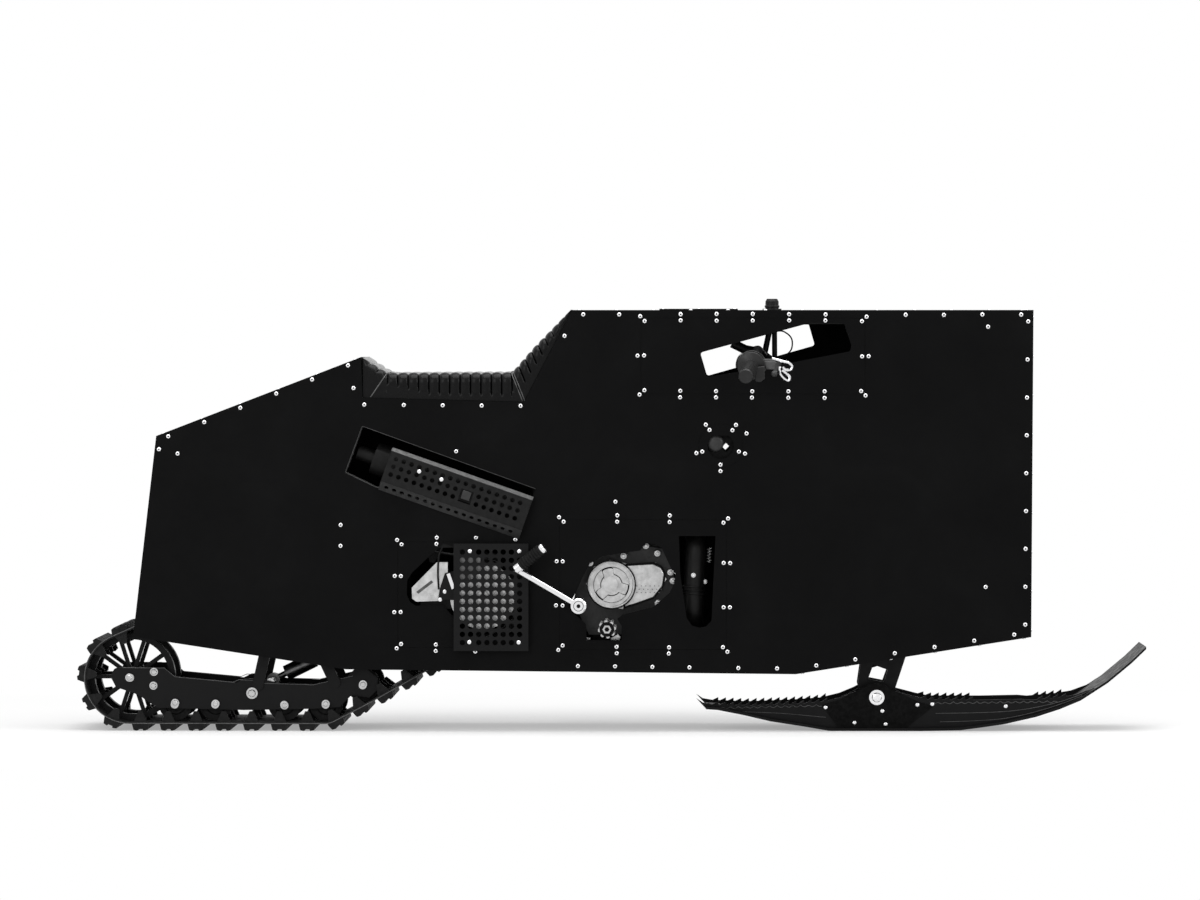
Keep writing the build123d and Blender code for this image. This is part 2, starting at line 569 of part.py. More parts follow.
for tooth_from, tooth_to in SKI_TOOTH_RUNS:
    for k in range(int((tooth_to - tooth_from) / SKI_TOOTH_PITCH)):
        tooth_x = tooth_from + k * SKI_TOOTH_PITCH
        next_x = tooth_x + SKI_TOOTH_PITCH * (1 - HALF * HALF)
        rail += prism(((tooth_x, rail_height(tooth_x) - SKI_SHEET), (tooth_x, rail_height(tooth_x)),
                       (next_x, rail_height(next_x) + SKI_TOOTH_HEIGHT), (next_x, rail_height(next_x) - SKI_SHEET)),
                      SKI_RAIL_Y - SKI_RAIL_THICK, SKI_RAIL_Y)
ski = sole + rail + mirrored(rail)
pieces["ski"] = ski
bracket = prism(BRACKET_OUTLINE, BRACKET_Y - BRACKET_THICK, BRACKET_Y)
bracket += prism(BRACKET_OUTLINE, -BRACKET_Y, -BRACKET_Y + BRACKET_THICK)
bracket += pin(PIVOT, PIVOT_RADIUS, -SKI_RAIL_Y + SKI_RAIL_THICK + FIT, SKI_RAIL_Y - SKI_RAIL_THICK - FIT)
pieces["ski_bracket"] = bracket

# Track loop round rear wheel, return roller, sprocket, idler and front bogie
bogie_z = GROUND_TO_BAND + BOGIE_RADIUS


def loop_at(roller_z):
    """Circles the belt runs round, for one height of the return roller."""
    return (((REAR_WHEEL_X, GROUND_TO_BAND + REAR_WHEEL_RADIUS), REAR_WHEEL_RADIUS),
            ((ROLLER_X, roller_z), ROLLER_RADIUS), (SPROCKET, SPROCKET_RADIUS), (IDLER, IDLER_RADIUS),
            ((BOGIE_X[-1], bogie_z), BOGIE_RADIUS))


def tangents(circles, grow=0):
    """Straight runs of a belt that runs clockwise round circles."""
    runs = []
    for k, ((ax, az), ra) in enumerate(circles):
        (bx, bz), rb = circles[(k + 1) % len(circles)]
        span = hypot(bx - ax, bz - az)
        heading = atan2(bz - az, bx - ax)
        normal = heading + acos((ra - rb) / span)
        runs.append(((ax + (ra + grow) * cos(normal), az + (ra + grow) * sin(normal)),
                     (bx + (rb + grow) * cos(normal), bz + (rb + grow) * sin(normal))))
    return runs


def belt_face(circles, grow, y):
    """Face inside a belt round circles."""
    runs = tangents(circles, grow)
    edges = []
    for k, (start, end) in enumerate(runs):
        edges.append(Edge.make_line(in_plane(start, y), in_plane(end, y)))
        centre, radius = circles[(k + 1) % len(circles)]
        nxt = runs[(k + 1) % len(runs)][0]
        middle = Vector(end[0] - centre[0] + nxt[0] - centre[0], end[1] - centre[1] + nxt[1] - centre[1]).normalized()
        mid_point = (centre[0] + middle.X * (radius + grow), y, centre[1] + middle.Y * (radius + grow))
        edges.append(Edge.make_three_point_arc(in_plane(end, y), mid_point, in_plane(nxt, y)))
    return Face(Wire(edges))


def belt_stations(circles):
    """Belt length and a function from distance to point and heading."""
    runs = tangents(circles)
    parts = []
    for k, (start, end) in enumerate(runs):
        parts.append(("line", hypot(end[0] - start[0], end[1] - start[1]), start, end))
        centre, radius = circles[(k + 1) % len(circles)]
        nxt = runs[(k + 1) % len(runs)][0]
        turn = atan2(end[1] - centre[1], end[0] - centre[0]) - atan2(nxt[1] - centre[1], nxt[0] - centre[0])
        parts.append(("arc", radius * (turn % (2 * pi)), (centre, radius), end))

    def place(distance):
        for kind, length, first, second in parts:
            if distance <= length:
                break
            distance -= length
        if kind == "line":
            ux, uz = unit(first, second)
            return (first[0] + ux * distance, first[1] + uz * distance), (-uz, ux)
        centre, radius = first
        angle = atan2(second[1] - centre[1], second[0] - centre[0]) - distance / radius
        return (centre[0] + radius * cos(angle), centre[1] + radius * sin(angle)), (cos(angle), sin(angle))

    return sum(p[1] for p in parts), place, parts


# The return roller takes the height at which the belt is a whole number of pitches long
low_roller, high_roller = ROLLER_Z_LOW, ROLLER_Z_HIGH
for step in range(ROLLER_STEPS):
    roller_z = (low_roller + high_roller) * HALF
    if belt_stations(loop_at(roller_z))[0] > TRACK_LUGS * LUG_PITCH:
        high_roller = roller_z
    else:
        low_roller = roller_z
loop = loop_at(roller_z)
roller = (ROLLER_X, roller_z)
band_length, place, parts = belt_stations(loop)
lug_pitch = band_length / TRACK_LUGS
print("belt", band_length, "pitch", lug_pitch, "roller", roller_z)
band_outer = extrude(belt_face(loop, BAND, -TRACK_HALF_WIDTH), amount=TRACK_HALF_WIDTH * 2, dir=(0, 1, 0))
band_inner = extrude(belt_face(loop, 0, -TRACK_HALF_WIDTH - OVERRUN), amount=(TRACK_HALF_WIDTH + OVERRUN) * 2,
                     dir=(0, 1, 0))
track = band_outer - band_inner
track_bits = []
sprocket_start = sum(p[1] for p in parts[:3]) + parts[3][1] * 0
sprocket_phase = sprocket_start % lug_pitch
SINK = 1.5
for k in range(TRACK_LUGS):
    (px, pz), (nx, nz) = place((k * lug_pitch + sprocket_phase) % band_length)
    tx, tz = nz, -nx
    base, tip = BAND - SINK, BAND + LUG_HEIGHT
    half_base, half_tip = LUG_BASE * HALF, LUG_TIP * HALF
    profile = ((px + nx * base - tx * half_base, pz + nz * base - tz * half_base),
               (px + nx * base + tx * half_base, pz + nz * base + tz * half_base),
               (px + nx * tip + tx * half_tip, pz + nz * tip + tz * half_tip),
               (px + nx * tip - tx * half_tip, pz + nz * tip - tz * half_tip))
    track_bits.append(prism(profile, -TRACK_HALF_WIDTH, TRACK_HALF_WIDTH))
    half_cog = COG_LENGTH * HALF
    cog = ((px + nx * SINK - tx * half_cog, pz + nz * SINK - tz * half_cog),
           (px + nx * SINK + tx * half_cog, pz + nz * SINK + tz * half_cog),
           (px - nx * COG_HEIGHT, pz - nz * COG_HEIGHT))
    for y in (-COG_Y, COG_Y):
        track_bits.append(prism(cog, y - COG_WIDTH * HALF, y + COG_WIDTH * HALF))
pieces["track"] = track + track_bits

# Wheels, rails and shafts inside the loop


def wheel(centre, radius, y, width, bore=AXLE_RADIUS):
    """Plain roller wheel with a recessed web."""
    body = ring(centre, radius, radius - RIM, y - width * HALF, y + width * HALF)
    body += ring(centre, HUB_RADIUS, bore + WHEEL_GAP, y - width * HALF, y + width * HALF)
    web = ring(centre, radius - RIM + SINK, bore + WHEEL_GAP, y - width / 8, y + width / 8)
    return body + web


def spoked_wheel(centre, radius, y, width, bore=AXLE_RADIUS):
    """Large wheel with straight spokes."""
    body = ring(centre, radius, radius - RIM, y - width * HALF, y + width * HALF)
    body += ring(centre, HUB_RADIUS, bore + WHEEL_GAP, y - width * HALF, y + width * HALF)
    long = radius - RIM - HUB_RADIUS + SINK * 2
    for k in range(SPOKES):
        angle = FULL_TURN * k / SPOKES
        middle = HUB_RADIUS - SINK + long * HALF
        body += Pos(centre[0], y, centre[1]) * Rot(0, angle, 0) * Pos(middle, 0, 0) * Box(
            long, width * HALF, SPOKE_WIDTH)
    return body


rear_axle = loop[0][0]
rear = spoked_wheel(rear_axle, REAR_WHEEL_RADIUS - WHEEL_GAP, REAR_WHEEL_Y, WHEEL_WIDTH)
pieces["rear_wheels"] = rear + mirrored(rear)
bogies = Part()
for x in BOGIE_X:
    one = wheel((x, bogie_z), BOGIE_RADIUS - WHEEL_GAP, WHEEL_Y, WHEEL_WIDTH)
    bogies += one + mirrored(one)
pieces["bogie_wheels"] = bogies
one = wheel(IDLER, IDLER_RADIUS - WHEEL_GAP, WHEEL_Y, WHEEL_WIDTH)
pieces["idler_wheels"] = one + mirrored(one)
one = wheel(roller, ROLLER_RADIUS - WHEEL_GAP, WHEEL_Y, WHEEL_WIDTH)
pieces["return_rollers"] = one + mirrored(one)

rail_plate = prism(RAIL_OUTLINE, RAIL_Y, RAIL_Y + RAIL_THICK)
for centre in [rear_axle, IDLER] + [(x, bogie_z) for x in BOGIE_X]:
    rail_plate -= pin(centre, AXLE_RADIUS + WHEEL_GAP, RAIL_Y - OVERRUN, RAIL_Y + RAIL_THICK + OVERRUN)
pieces["rail_left"] = rail_plate
pieces["rail_right"] = mirrored(rail_plate)
shafts = Part()
AXLE_HALF = RAIL_Y + RAIL_THICK + 8
for centre in [rear_axle, IDLER] + [(x, bogie_z) for x in BOGIE_X]:
    shafts += pin(centre, AXLE_RADIUS, -AXLE_HALF, AXLE_HALF)
shafts += pin(roller, AXLE_RADIUS, -INNER_Y, INNER_Y)
shafts += pin(SHOCK_FOOT, CROSS_RADIUS - WHEEL_GAP, -RAIL_Y + FIT, RAIL_Y - FIT)
pieces["axle_shafts"] = shafts


def link_plate(start, end, width, y_from, y_to):
    """Flat link with round ends."""
    ux, uz = unit(start, end)
    wx, wz = -uz * width * HALF, ux * width * HALF
    plate = prism(((start[0] + wx, start[1] + wz), (end[0] + wx, end[1] + wz), (end[0] - wx, end[1] - wz),
                   (start[0] - wx, start[1] - wz)), y_from, y_to)
    return plate + pin(start, width * HALF, y_from, y_to) + pin(end, width * HALF, y_from, y_to)


arm_y = RAIL_Y + RAIL_THICK + FIT
arms = Part()
for foot, cross in zip(ARM_FEET, SHAFT_CROSS):
    arm = link_plate(foot, cross, ARM_WIDTH, arm_y, arm_y + ARM_THICK)
    arm -= pin(cross, CROSS_RADIUS + FIT, arm_y - OVERRUN, arm_y + ARM_THICK + OVERRUN)
    arms += arm + mirrored(arm)
pieces["suspension_arms"] = arms
shock_head = SHAFT_CROSS[-1]


def on_shock(share):
    """Point of the shock's axis at a share of its length."""
    return (SHOCK_FOOT[0] + (shock_head[0] - SHOCK_FOOT[0]) * share, 0,
            SHOCK_FOOT[1] + (shock_head[1] - SHOCK_FOOT[1]) * share)


shock = rod(on_shock(0), on_shock(1), SHOCK_ROD_RADIUS)
shock += rod(on_shock(SHOCK_BODY_SHARES[0]), on_shock(SHOCK_BODY_SHARES[1]), SHOCK_RADIUS)
for centre in (SHOCK_FOOT, shock_head):
    shock += pin(centre, SHOCK_EYE_RADIUS, -SHOCK_EYE_HALF, SHOCK_EYE_HALF)
for centre in (SHOCK_FOOT, shock_head):
    shock -= pin(centre, CROSS_RADIUS + FIT, -RAIL_Y, RAIL_Y)
pieces["track_shock"] = shock

# Drive shaft with sprockets
sprocket_y = COG_Y
sprockets = Part()
tooth_root = SPROCKET_RADIUS - COG_HEIGHT - 4
for y in (-sprocket_y, sprocket_y):
    sprockets += ring(SPROCKET, tooth_root, DRIVE_SHAFT_RADIUS + FIT, y - COG_WIDTH * HALF, y + COG_WIDTH * HALF)
    for k in range(SPROCKET_TEETH):
        end_run = tangents(loop)[1][1]
        base_angle = degrees(atan2(end_run[1] - SPROCKET[1], end_run[0] - SPROCKET[0]))
        angle = base_angle - FULL_TURN * (k + HALF) / SPROCKET_TEETH
        reach = SPROCKET_RADIUS - WHEEL_GAP * 3
        long = reach - tooth_root + SINK * 2
        sprockets += Pos(SPROCKET[0], y, SPROCKET[1]) * Rot(0, -angle, 0) * Pos(reach - long * HALF, 0, 0) * Box(
            long, COG_WIDTH, SPOKE_WIDTH)
pieces["drive_sprockets"] = sprockets
pieces["drive_shaft"] = pin(SPROCKET, DRIVE_SHAFT_RADIUS, -DISC_Y - OVERRUN * 2, INNER_Y - BACKING_SHEET - FIT)
pieces["brake_disc"] = ring(SPROCKET, DISC_RADIUS, DRIVE_SHAFT_RADIUS + FIT, -DISC_Y - DISC_THICK, -DISC_Y)
pieces["brake_caliper"] = prism(CALIPER_OUTLINE, -DISC_Y - 26, -DISC_Y - DISC_THICK - FIT * 3) + prism(
    CALIPER_OUTLINE, -DISC_Y + FIT * 3, -DISC_Y + 10) + prism(
    ((-360, 405), (-300, 405), (-300, 392), (-360, 392)), -DISC_Y - 26, -DISC_Y + 10)
case_face = -(INNER_Y - TUBE + FIT * 2)
pieces["drive_case"] = prism(CASE_OUTLINE, case_face - CASE_DEPTH, case_face)

# Brake guard on four posts
guard = prism(((GUARD_LEFT, GUARD_TOP), (GUARD_RIGHT, GUARD_TOP), (GUARD_RIGHT, GUARD_FOOT), (GUARD_LEFT, GUARD_FOOT)),
              -GUARD_Y, -GUARD_Y + GUARD_SHEET)
guard_mid = ((GUARD_LEFT + GUARD_RIGHT) * HALF, (GUARD_TOP + GUARD_FOOT) * HALF)
first_x = guard_mid[0] - GUARD_PITCH_X * (GUARD_COLUMNS - 1) * HALF
first_z = guard_mid[1] - GUARD_PITCH_Z * (GUARD_ROWS - 1) * HALF
drills = []
posts = []
for column in range(GUARD_COLUMNS):
    for row in range(GUARD_ROWS):
        spot = (first_x + column * GUARD_PITCH_X, first_z + row * GUARD_PITCH_Z)
        if column in (1, GUARD_COLUMNS - 1) and row in (0, GUARD_ROWS - 1):
            posts.append(pin(spot, GUARD_POST_RADIUS, -GUARD_Y, -BODY_HALF_WIDTH - FIT))
        else:
            drills.append(pin(spot, GUARD_HOLE * HALF, -GUARD_Y - OVERRUN, -GUARD_Y + OVERRUN))
pieces["brake_guard"] = guard - drills + posts

# Folded shield over the muffler
sx, sz = unit(SHIELD_REAR, SHIELD_FRONT)
shield_length = hypot(SHIELD_FRONT[0] - SHIELD_REAR[0], SHIELD_FRONT[1] - SHIELD_REAR[1])
shield_plane = Plane(origin=(SHIELD_REAR[0], 0, SHIELD_REAR[1]), x_dir=(sz, 0, -sx), z_dir=(sx, 0, sz))
depth = -1 if shield_plane.y_dir.Y > 0 else 1


def shield_section(offset):
    """Folded profile: down the sheet, then out from the vehicle."""
    fold = SHIELD_SHEET * tan(radians(QUARTER_TURN / 4))
    return [(0, BODY_HALF_WIDTH + FIT), (0, SHIELD_Y), (SHIELD_FACE, SHIELD_Y),
            (SHIELD_FACE + SHIELD_CHAMFER, BODY_HALF_WIDTH + FIT),
            (SHIELD_FACE + SHIELD_CHAMFER - fold * 2, BODY_HALF_WIDTH + FIT),
            (SHIELD_FACE - fold, SHIELD_Y - SHIELD_SHEET), (SHIELD_SHEET, SHIELD_Y - SHIELD_SHEET),
            (SHIELD_SHEET, BODY_HALF_WIDTH + FIT)]


section = Face(Wire.make_polygon(
    [shield_plane.from_local_coords((v, depth * y, 0)) for v, y in shield_section(0)], close=True))
shield = extrude(section, amount=shield_length, dir=(sx, 0, sz))
drills = []
row_step = SHIELD_FACE / SHIELD_ROWS
for row in range(SHIELD_ROWS):
    for column in range(SHIELD_COLUMNS):
        u = SHIELD_PITCH * (column + 1 + (HALF if row == 1 else 0)) - SHIELD_PITCH * HALF * HALF
        v = row_step * (row + HALF)
        spot = (SHIELD_REAR[0] + sx * u + sz * v, SHIELD_REAR[1] + sz * u - sx * v)
        drills.append(pin(spot, SHIELD_HOLE * HALF, -SHIELD_Y - OVERRUN, -SHIELD_Y + OVERRUN))
pieces["muffler_shield"] = shield - drills

# Exhaust
mx, mz = unit(MUFFLER_REAR, MUFFLER_FRONT)


def on_muffler(distance):
    """Point of the muffler's axis ahead of its rear end."""
    return (MUFFLER_REAR[0] + mx * distance, -MUFFLER_Y, MUFFLER_REAR[1] + mz * distance)


muffler = rod(on_muffler(0), in_plane(MUFFLER_FRONT, -MUFFLER_Y), MUFFLER_RADIUS)
muffler += rod(on_muffler(0), on_muffler(-TAILPIPE_LENGTH), TAILPIPE_RADIUS)
muffler -= rod(on_muffler(TAILPIPE_BORE_DEPTH - TAILPIPE_LENGTH), on_muffler(-TAILPIPE_LENGTH - OVERRUN), TAILPIPE_BORE)
pieces["muffler"] = muffler
port = Vector(CYLINDER_FOOT[0], 0, CYLINDER_FOOT[1]) + Vector(CYLINDER_SIZE[0] * HALF + FIT, 0, EXHAUST_PORT).rotate(
    Axis.Y, CYLINDER_LEAN)
port_reach = port + Vector(HEADER_REACH, 0, 0).rotate(Axis.Y, CYLINDER_LEAN)
header_points = [(port.X, port.Y, port.Z), (port_reach.X, port_reach.Y, port_reach.Z)] + list(HEADER_ROUTE) + [
    (MUFFLER_FRONT[0] + mx * FIT, -MUFFLER_Y, MUFFLER_FRONT[1] + mz * FIT)]
pieces["exhaust_header"] = bent_tube(header_points, HEADER_RADIUS, HEADER_BEND)

# Engine
engine = prism(CRANK_CASE, -CRANK_HALF_WIDTH, CRANK_HALF_WIDTH)
engine += Pos(CYLINDER_FOOT[0], 0, CYLINDER_FOOT[1]) * Rot(0, CYLINDER_LEAN, 0) * Pos(0, 0, CYLINDER_SIZE[2] * HALF) * Box(
    *CYLINDER_SIZE)
pieces["engine_block"] = engine
cover = prism(COVER_OUTLINE, CRANK_HALF_WIDTH + FIT, CRANK_HALF_WIDTH + FIT + COVER_SPACER)
cover -= pin(KICK_PIVOT, KICK_BOSS_RADIUS + FIT, 0, BODY_HALF_WIDTH)
cover -= pin(SHIFT_PIVOT, SHIFT_PAD_RADIUS + SHEET + FIT, 0, BODY_HALF_WIDTH)
cover += pin(COVER_CENTRE, COVER_RADIUS - SHEET, CRANK_HALF_WIDTH + FIT, CRANK_HALF_WIDTH + FIT + COVER_SPACER + 10)
cover += pin(COVER_CENTRE, COVER_BOSS_RADIUS, CRANK_HALF_WIDTH + FIT, CRANK_HALF_WIDTH + FIT + COVER_SPACER + 10 + COVER_BOSS)
pieces["engine_cover_left"] = cover
pieces["engine_cover_right"] = mirrored(cover)
kick = pin(KICK_PIVOT, KICK_RADIUS + 3, -KICK_Y, -CRANK_HALF_WIDTH - FIT)
kick += pin(KICK_PIVOT, KICK_BOSS_RADIUS, -KICK_Y - 8, -KICK_Y + 8)
kick += rod(in_plane(KICK_PIVOT, -KICK_Y), in_plane(KICK_END, -KICK_Y), KICK_RADIUS)
kick += rod(in_plane(KICK_END, -KICK_Y), in_plane(KICK_PEDAL_END, -KICK_Y - 14), KICK_PEDAL_RADIUS)
pieces["kick_starter"] = kick
shift_lever = pin(SHIFT_PIVOT, SHIFT_RADIUS + SHEET, CRANK_HALF_WIDTH + FIT, SHIFT_Y)
shift_lever += pin(SHIFT_PIVOT, SHIFT_PAD_RADIUS + SHEET, SHIFT_Y - SHIFT_PAD_RADIUS, SHIFT_Y + SHIFT_PAD_RADIUS)
shift_lever += rod(in_plane(SHIFT_PIVOT, SHIFT_Y), in_plane(SHIFT_END, SHIFT_Y), SHIFT_RADIUS)
shift_lever += pin(SHIFT_END, SHIFT_PAD_RADIUS, SHIFT_Y - SHIFT_PAD_RADIUS, SHIFT_Y + SHIFT_PAD_LENGTH)
pieces["shift_lever"] = shift_lever
peg = pin(PEG, PEG_RADIUS, -PEG_TO, -PEG_FROM - 20) + pin(PEG, PEG_MOUNT_RADIUS, -PEG_FROM - 20, -CRANK_HALF_WIDTH - FIT)
pieces["footpegs"] = peg + mirrored(peg)

# Centre the whole on its own box, then write one file per node
ends = [shape.bounding_box() for shape in pieces.values()]
low_x, high_x = min(b.min.X for b in ends), max(b.max.X for b in ends)
low_z = min(b.min.Z for b in ends)
print("box", low_x, high_x, low_z, max(b.max.Z for b in ends), min(b.min.Y for b in ends), max(b.max.Y for b in ends))
shift = Pos(-(low_x + high_x) * HALF, 0, -low_z)
os.makedirs("parts", exist_ok=True)
for name, shape in pieces.items():
    solids = (shift * shape).solids()
    moved = Compound(children=solids) if len(solids) > 1 else solids[0]
    moved.label = name
    export_step(moved, f"parts/{name}.step")
print("shift", -(low_x + high_x) * HALF, -low_z, len(pieces))
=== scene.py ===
import math

import bmesh
import bpy
from mathutils import Matrix, Vector


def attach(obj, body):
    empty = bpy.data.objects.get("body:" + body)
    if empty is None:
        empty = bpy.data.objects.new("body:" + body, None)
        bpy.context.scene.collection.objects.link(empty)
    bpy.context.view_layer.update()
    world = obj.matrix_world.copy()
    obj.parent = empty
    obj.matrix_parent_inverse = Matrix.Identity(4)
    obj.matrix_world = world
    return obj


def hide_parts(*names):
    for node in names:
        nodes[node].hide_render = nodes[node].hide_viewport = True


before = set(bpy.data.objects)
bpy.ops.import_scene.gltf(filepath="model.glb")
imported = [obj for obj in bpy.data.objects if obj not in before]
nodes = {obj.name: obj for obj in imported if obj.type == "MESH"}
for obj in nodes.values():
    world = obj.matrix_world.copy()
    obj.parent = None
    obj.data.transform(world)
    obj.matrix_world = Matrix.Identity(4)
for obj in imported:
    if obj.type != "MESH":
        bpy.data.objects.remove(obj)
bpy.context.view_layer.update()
scene = bpy.context.scene

# Places, in millimetres of the CAD source or pixels of the photograph
SHIFT = 0.294              # the CAD model's shift along X
NEAR = -160.0              # face of the right side panel
PIXEL = 2.3                # what a pixel covers on that face
DISTANCE = 12000           # from that face to the camera
MARK_PIXEL = (700, 350)    # a pixel of the photograph
MARK = (205.3, 881)        # and its x and z on that face
RIGHT, UP = (0, -1, 0), (0, 0, 1)


def W(x, y, z):
    """Millimetres of the CAD source to metres."""
    return Vector(((x + SHIFT) / 1000, y / 1000, z / 1000))


def P(px, py, y=NEAR):
    """A pixel of the photograph on the plane y (mm)."""
    s = PIXEL * (1 + (y - NEAR) / DISTANCE)
    return W(MARK[0] + (px - MARK_PIXEL[0]) * s, y, MARK[1] - (py - MARK_PIXEL[1]) * s)


def trace(pixels, y):
    """Pixels of the photograph on the plane y (mm)."""
    return [P(px, py, y) for px, py in pixels]


def at_y(point, y):
    """The point moved to y (metres)."""
    return Vector((point.x, y, point.z))


def line(a, b, t):
    """Point at share t of the way from a to b."""
    return (a[0] + (b[0] - a[0]) * t, a[1] + (b[1] - a[1]) * t)


# Materials
def set_inputs(node, **values):
    """Set a node's inputs; an underscore in a name stands for a space."""
    for name, value in values.items():
        node.inputs[name.replace("_", " ")].default_value = value
    return node


def add_node(nt, kind, **values):
    return set_inputs(nt.nodes.new(kind), **values)


def new_mat(name, color, rough, metal=0.0, spec=0.5, coat=0.0, coat_rough=0.1):
    """A material, its node tree and its main shader."""
    m = bpy.data.materials.new(name)
    m.use_nodes = True
    b = m.node_tree.nodes["Principled BSDF"]
    set_inputs(b, Base_Color=(*color, 1), Roughness=rough, Metallic=metal, Specular_IOR_Level=spec)
    set_inputs(b, Coat_Weight=coat, Coat_Roughness=coat_rough)
    return m, m.node_tree, b


def coords(nt):
    return add_node(nt, "ShaderNodeTexCoord").outputs["Object"]


def noise(nt, scale, detail, rough=0.55, distort=0.0):
    """Noise in the object's own space."""
    n = add_node(nt, "ShaderNodeTexNoise", Scale=scale, Detail=detail, Roughness=rough, Distortion=distort)
    nt.links.new(coords(nt), n.inputs["Vector"])
    return n.outputs["Fac"]


def tint(nt, b, fac, stops):
    """Colour that follows fac; stops are (position, colour or grey)."""
    r = add_node(nt, "ShaderNodeValToRGB")
    el = r.color_ramp.elements
    while len(el) < len(stops):
        el.new(0.5)
    for e, (pos, col) in zip(el, stops):
        e.position = pos
        e.color = (*col, 1) if isinstance(col, tuple) else (col, col, col, 1)
    nt.links.new(fac, r.inputs["Fac"])
    nt.links.new(r.outputs["Color"], b.inputs["Base Color"])


def span(nt, fac, low, high, start=0.35, stop=0.65):
    """Value from low to high as fac goes from start to stop."""
    r = add_node(nt, "ShaderNodeMapRange", From_Min=start, From_Max=stop, To_Min=low, To_Max=high)
    nt.links.new(fac, r.inputs["Value"])
    return r.outputs["Result"]


def gloss(nt, b, fac, low, high):
    """Roughness that follows fac."""
    nt.links.new(span(nt, fac, low, high), b.inputs["Roughness"])


def bump(nt, b, fac, strength, distance, after=None):
    """Bump of the surface by fac, on top of the bump after."""
    n = add_node(nt, "ShaderNodeBump", Strength=strength, Distance=distance)
    nt.links.new(fac, n.inputs["Height"])
    if after:
        nt.links.new(after, n.inputs["Normal"])
    nt.links.new(n.outputs["Normal"], b.inputs["Normal"])
    return n.outputs["Normal"]


def black_sheet():
    """Satin black coated sheet with faint mottling."""
    m, nt, b = new_mat("black_sheet", (0.003, 0.003, 0.0031), rough=0.5, spec=0.05)
    tint(nt, b, noise(nt, scale=5.5, detail=6, rough=0.62, distort=0.4),
         [(0.3, (0.0019, 0.0019, 0.002)), (0.55, (0.0028, 0.0028, 0.0029)), (0.8, (0.0042, 0.0042, 0.0043))])
    gloss(nt, b, noise(nt, scale=38, detail=8, rough=0.7), 0.43, 0.62)
    bump(nt, b, noise(nt, scale=420, detail=3, rough=0.5), 0.12, 0.0004)
    return m


def black_frame():
    """Black paint on tubes and brackets, a little glossier than the sheet."""
    m, nt, b = new_mat("black_frame", (0.004, 0.004, 0.0042), rough=0.42, spec=0.1, coat=0.05, coat_rough=0.3)
    gloss(nt, b, noise(nt, scale=60, detail=5), 0.34, 0.55)
    bump(nt, b, noise(nt, scale=260, detail=3), 0.15, 0.0004)
    return m


def leather():
    """Black leather with fine grain, soft creases and a coat that shows at low angles."""
    m, nt, b = new_mat("black_leather", (0.0022, 0.0022, 0.0023), rough=0.34, spec=0.06, coat=0.1,
                       coat_rough=0.12)
    v = add_node(nt, "ShaderNodeTexVoronoi", Scale=520)
    v.feature = "DISTANCE_TO_EDGE"
    nt.links.new(coords(nt), v.inputs["Vector"])
    grain = bump(nt, b, span(nt, v.outputs["Distance"], 0.0, 1.0, 0.0, 0.16), 0.22, 0.0005)
    bump(nt, b, noise(nt, scale=46, detail=5, rough=0.6, distort=1.2), 0.35, 0.0022, after=grain)
    gloss(nt, b, noise(nt, scale=30, detail=5), 0.26, 0.45)
    rim = add_node(nt, "ShaderNodeLayerWeight", Blend=0.5)
    nt.links.new(span(nt, rim.outputs["Facing"], 0.12, 0.5, 0.08, 1.0), b.inputs["Coat Weight"])
    return m


def dull_black(name, tone, rough, spec=0.12):
    """Rubber, casting, dark sheet, and painted shade and highlight, from black to dark grey."""
    m, nt, b = new_mat(name, (tone, tone, tone), rough=rough, spec=spec)
    tint(nt, b, noise(nt, scale=70, detail=6, rough=0.65), [(0.3, tone * 0.75), (0.7, tone * 1.7)])
    gloss(nt, b, noise(nt, scale=130, detail=4), rough - 0.1, rough + 0.12)
    bump(nt, b, noise(nt, scale=600, detail=3), 0.2, 0.0004)
    return m


def cast_metal():
    """Bright cast aluminium with a sandy skin."""
    m, nt, b = new_mat("cast_aluminium", (0.50, 0.50, 0.51), rough=0.36, metal=1.0)
    tint(nt, b, noise(nt, scale=55, detail=6, rough=0.6), [(0.3, 0.36), (0.7, 0.58)])
    gloss(nt, b, noise(nt, scale=90, detail=5), 0.27, 0.48)
    bump(nt, b, noise(nt, scale=750, detail=4), 0.22, 0.0005)
    return m


def turned_steel(name, tone, rough):
    """Machined steel."""
    m, nt, b = new_mat(name, (tone, tone, tone), rough=rough, metal=1.0)
    b.inputs["Anisotropic"].default_value = 0.3
    tint(nt, b, noise(nt, scale=80, detail=5), [(0.3, tone * 0.82), (0.7, tone * 1.15)])
    gloss(nt, b, noise(nt, scale=180, detail=5), rough - 0.07, rough + 0.1)
    bump(nt, b, noise(nt, scale=900, detail=3), 0.1, 0.0003)
    return m


def chrome():
    m, nt, b = new_mat("bright_plate", (0.78, 0.78, 0.79), rough=0.09, metal=1.0)
    gloss(nt, b, noise(nt, scale=60, detail=5), 0.06, 0.17)
    return m


def screw_metal():
    m, nt, b = new_mat("bright_screw", (0.82, 0.82, 0.83), rough=0.24, metal=1.0)
    gloss(nt, b, noise(nt, scale=300, detail=4), 0.18, 0.33)
    return m


def exhaust_paint():
    """Matt black paint that the heat has browned a little."""
    m, nt, b = new_mat("exhaust_black", (0.004, 0.004, 0.004), rough=0.5, spec=0.15)
    tint(nt, b, noise(nt, scale=22, detail=6, rough=0.6), [(0.3, 0.003), (0.75, (0.009, 0.0088, 0.0085))])
    gloss(nt, b, noise(nt, scale=60, detail=5), 0.36, 0.6)
    bump(nt, b, noise(nt, scale=500, detail=4), 0.25, 0.0004)
    return m


def plastic():
    m, nt, b = new_mat("black_plastic", (0.006, 0.006, 0.006), rough=0.42, spec=0.2)
    gloss(nt, b, noise(nt, scale=90, detail=4), 0.34, 0.5)
    bump(nt, b, noise(nt, scale=500, detail=3), 0.1, 0.0003)
    return m


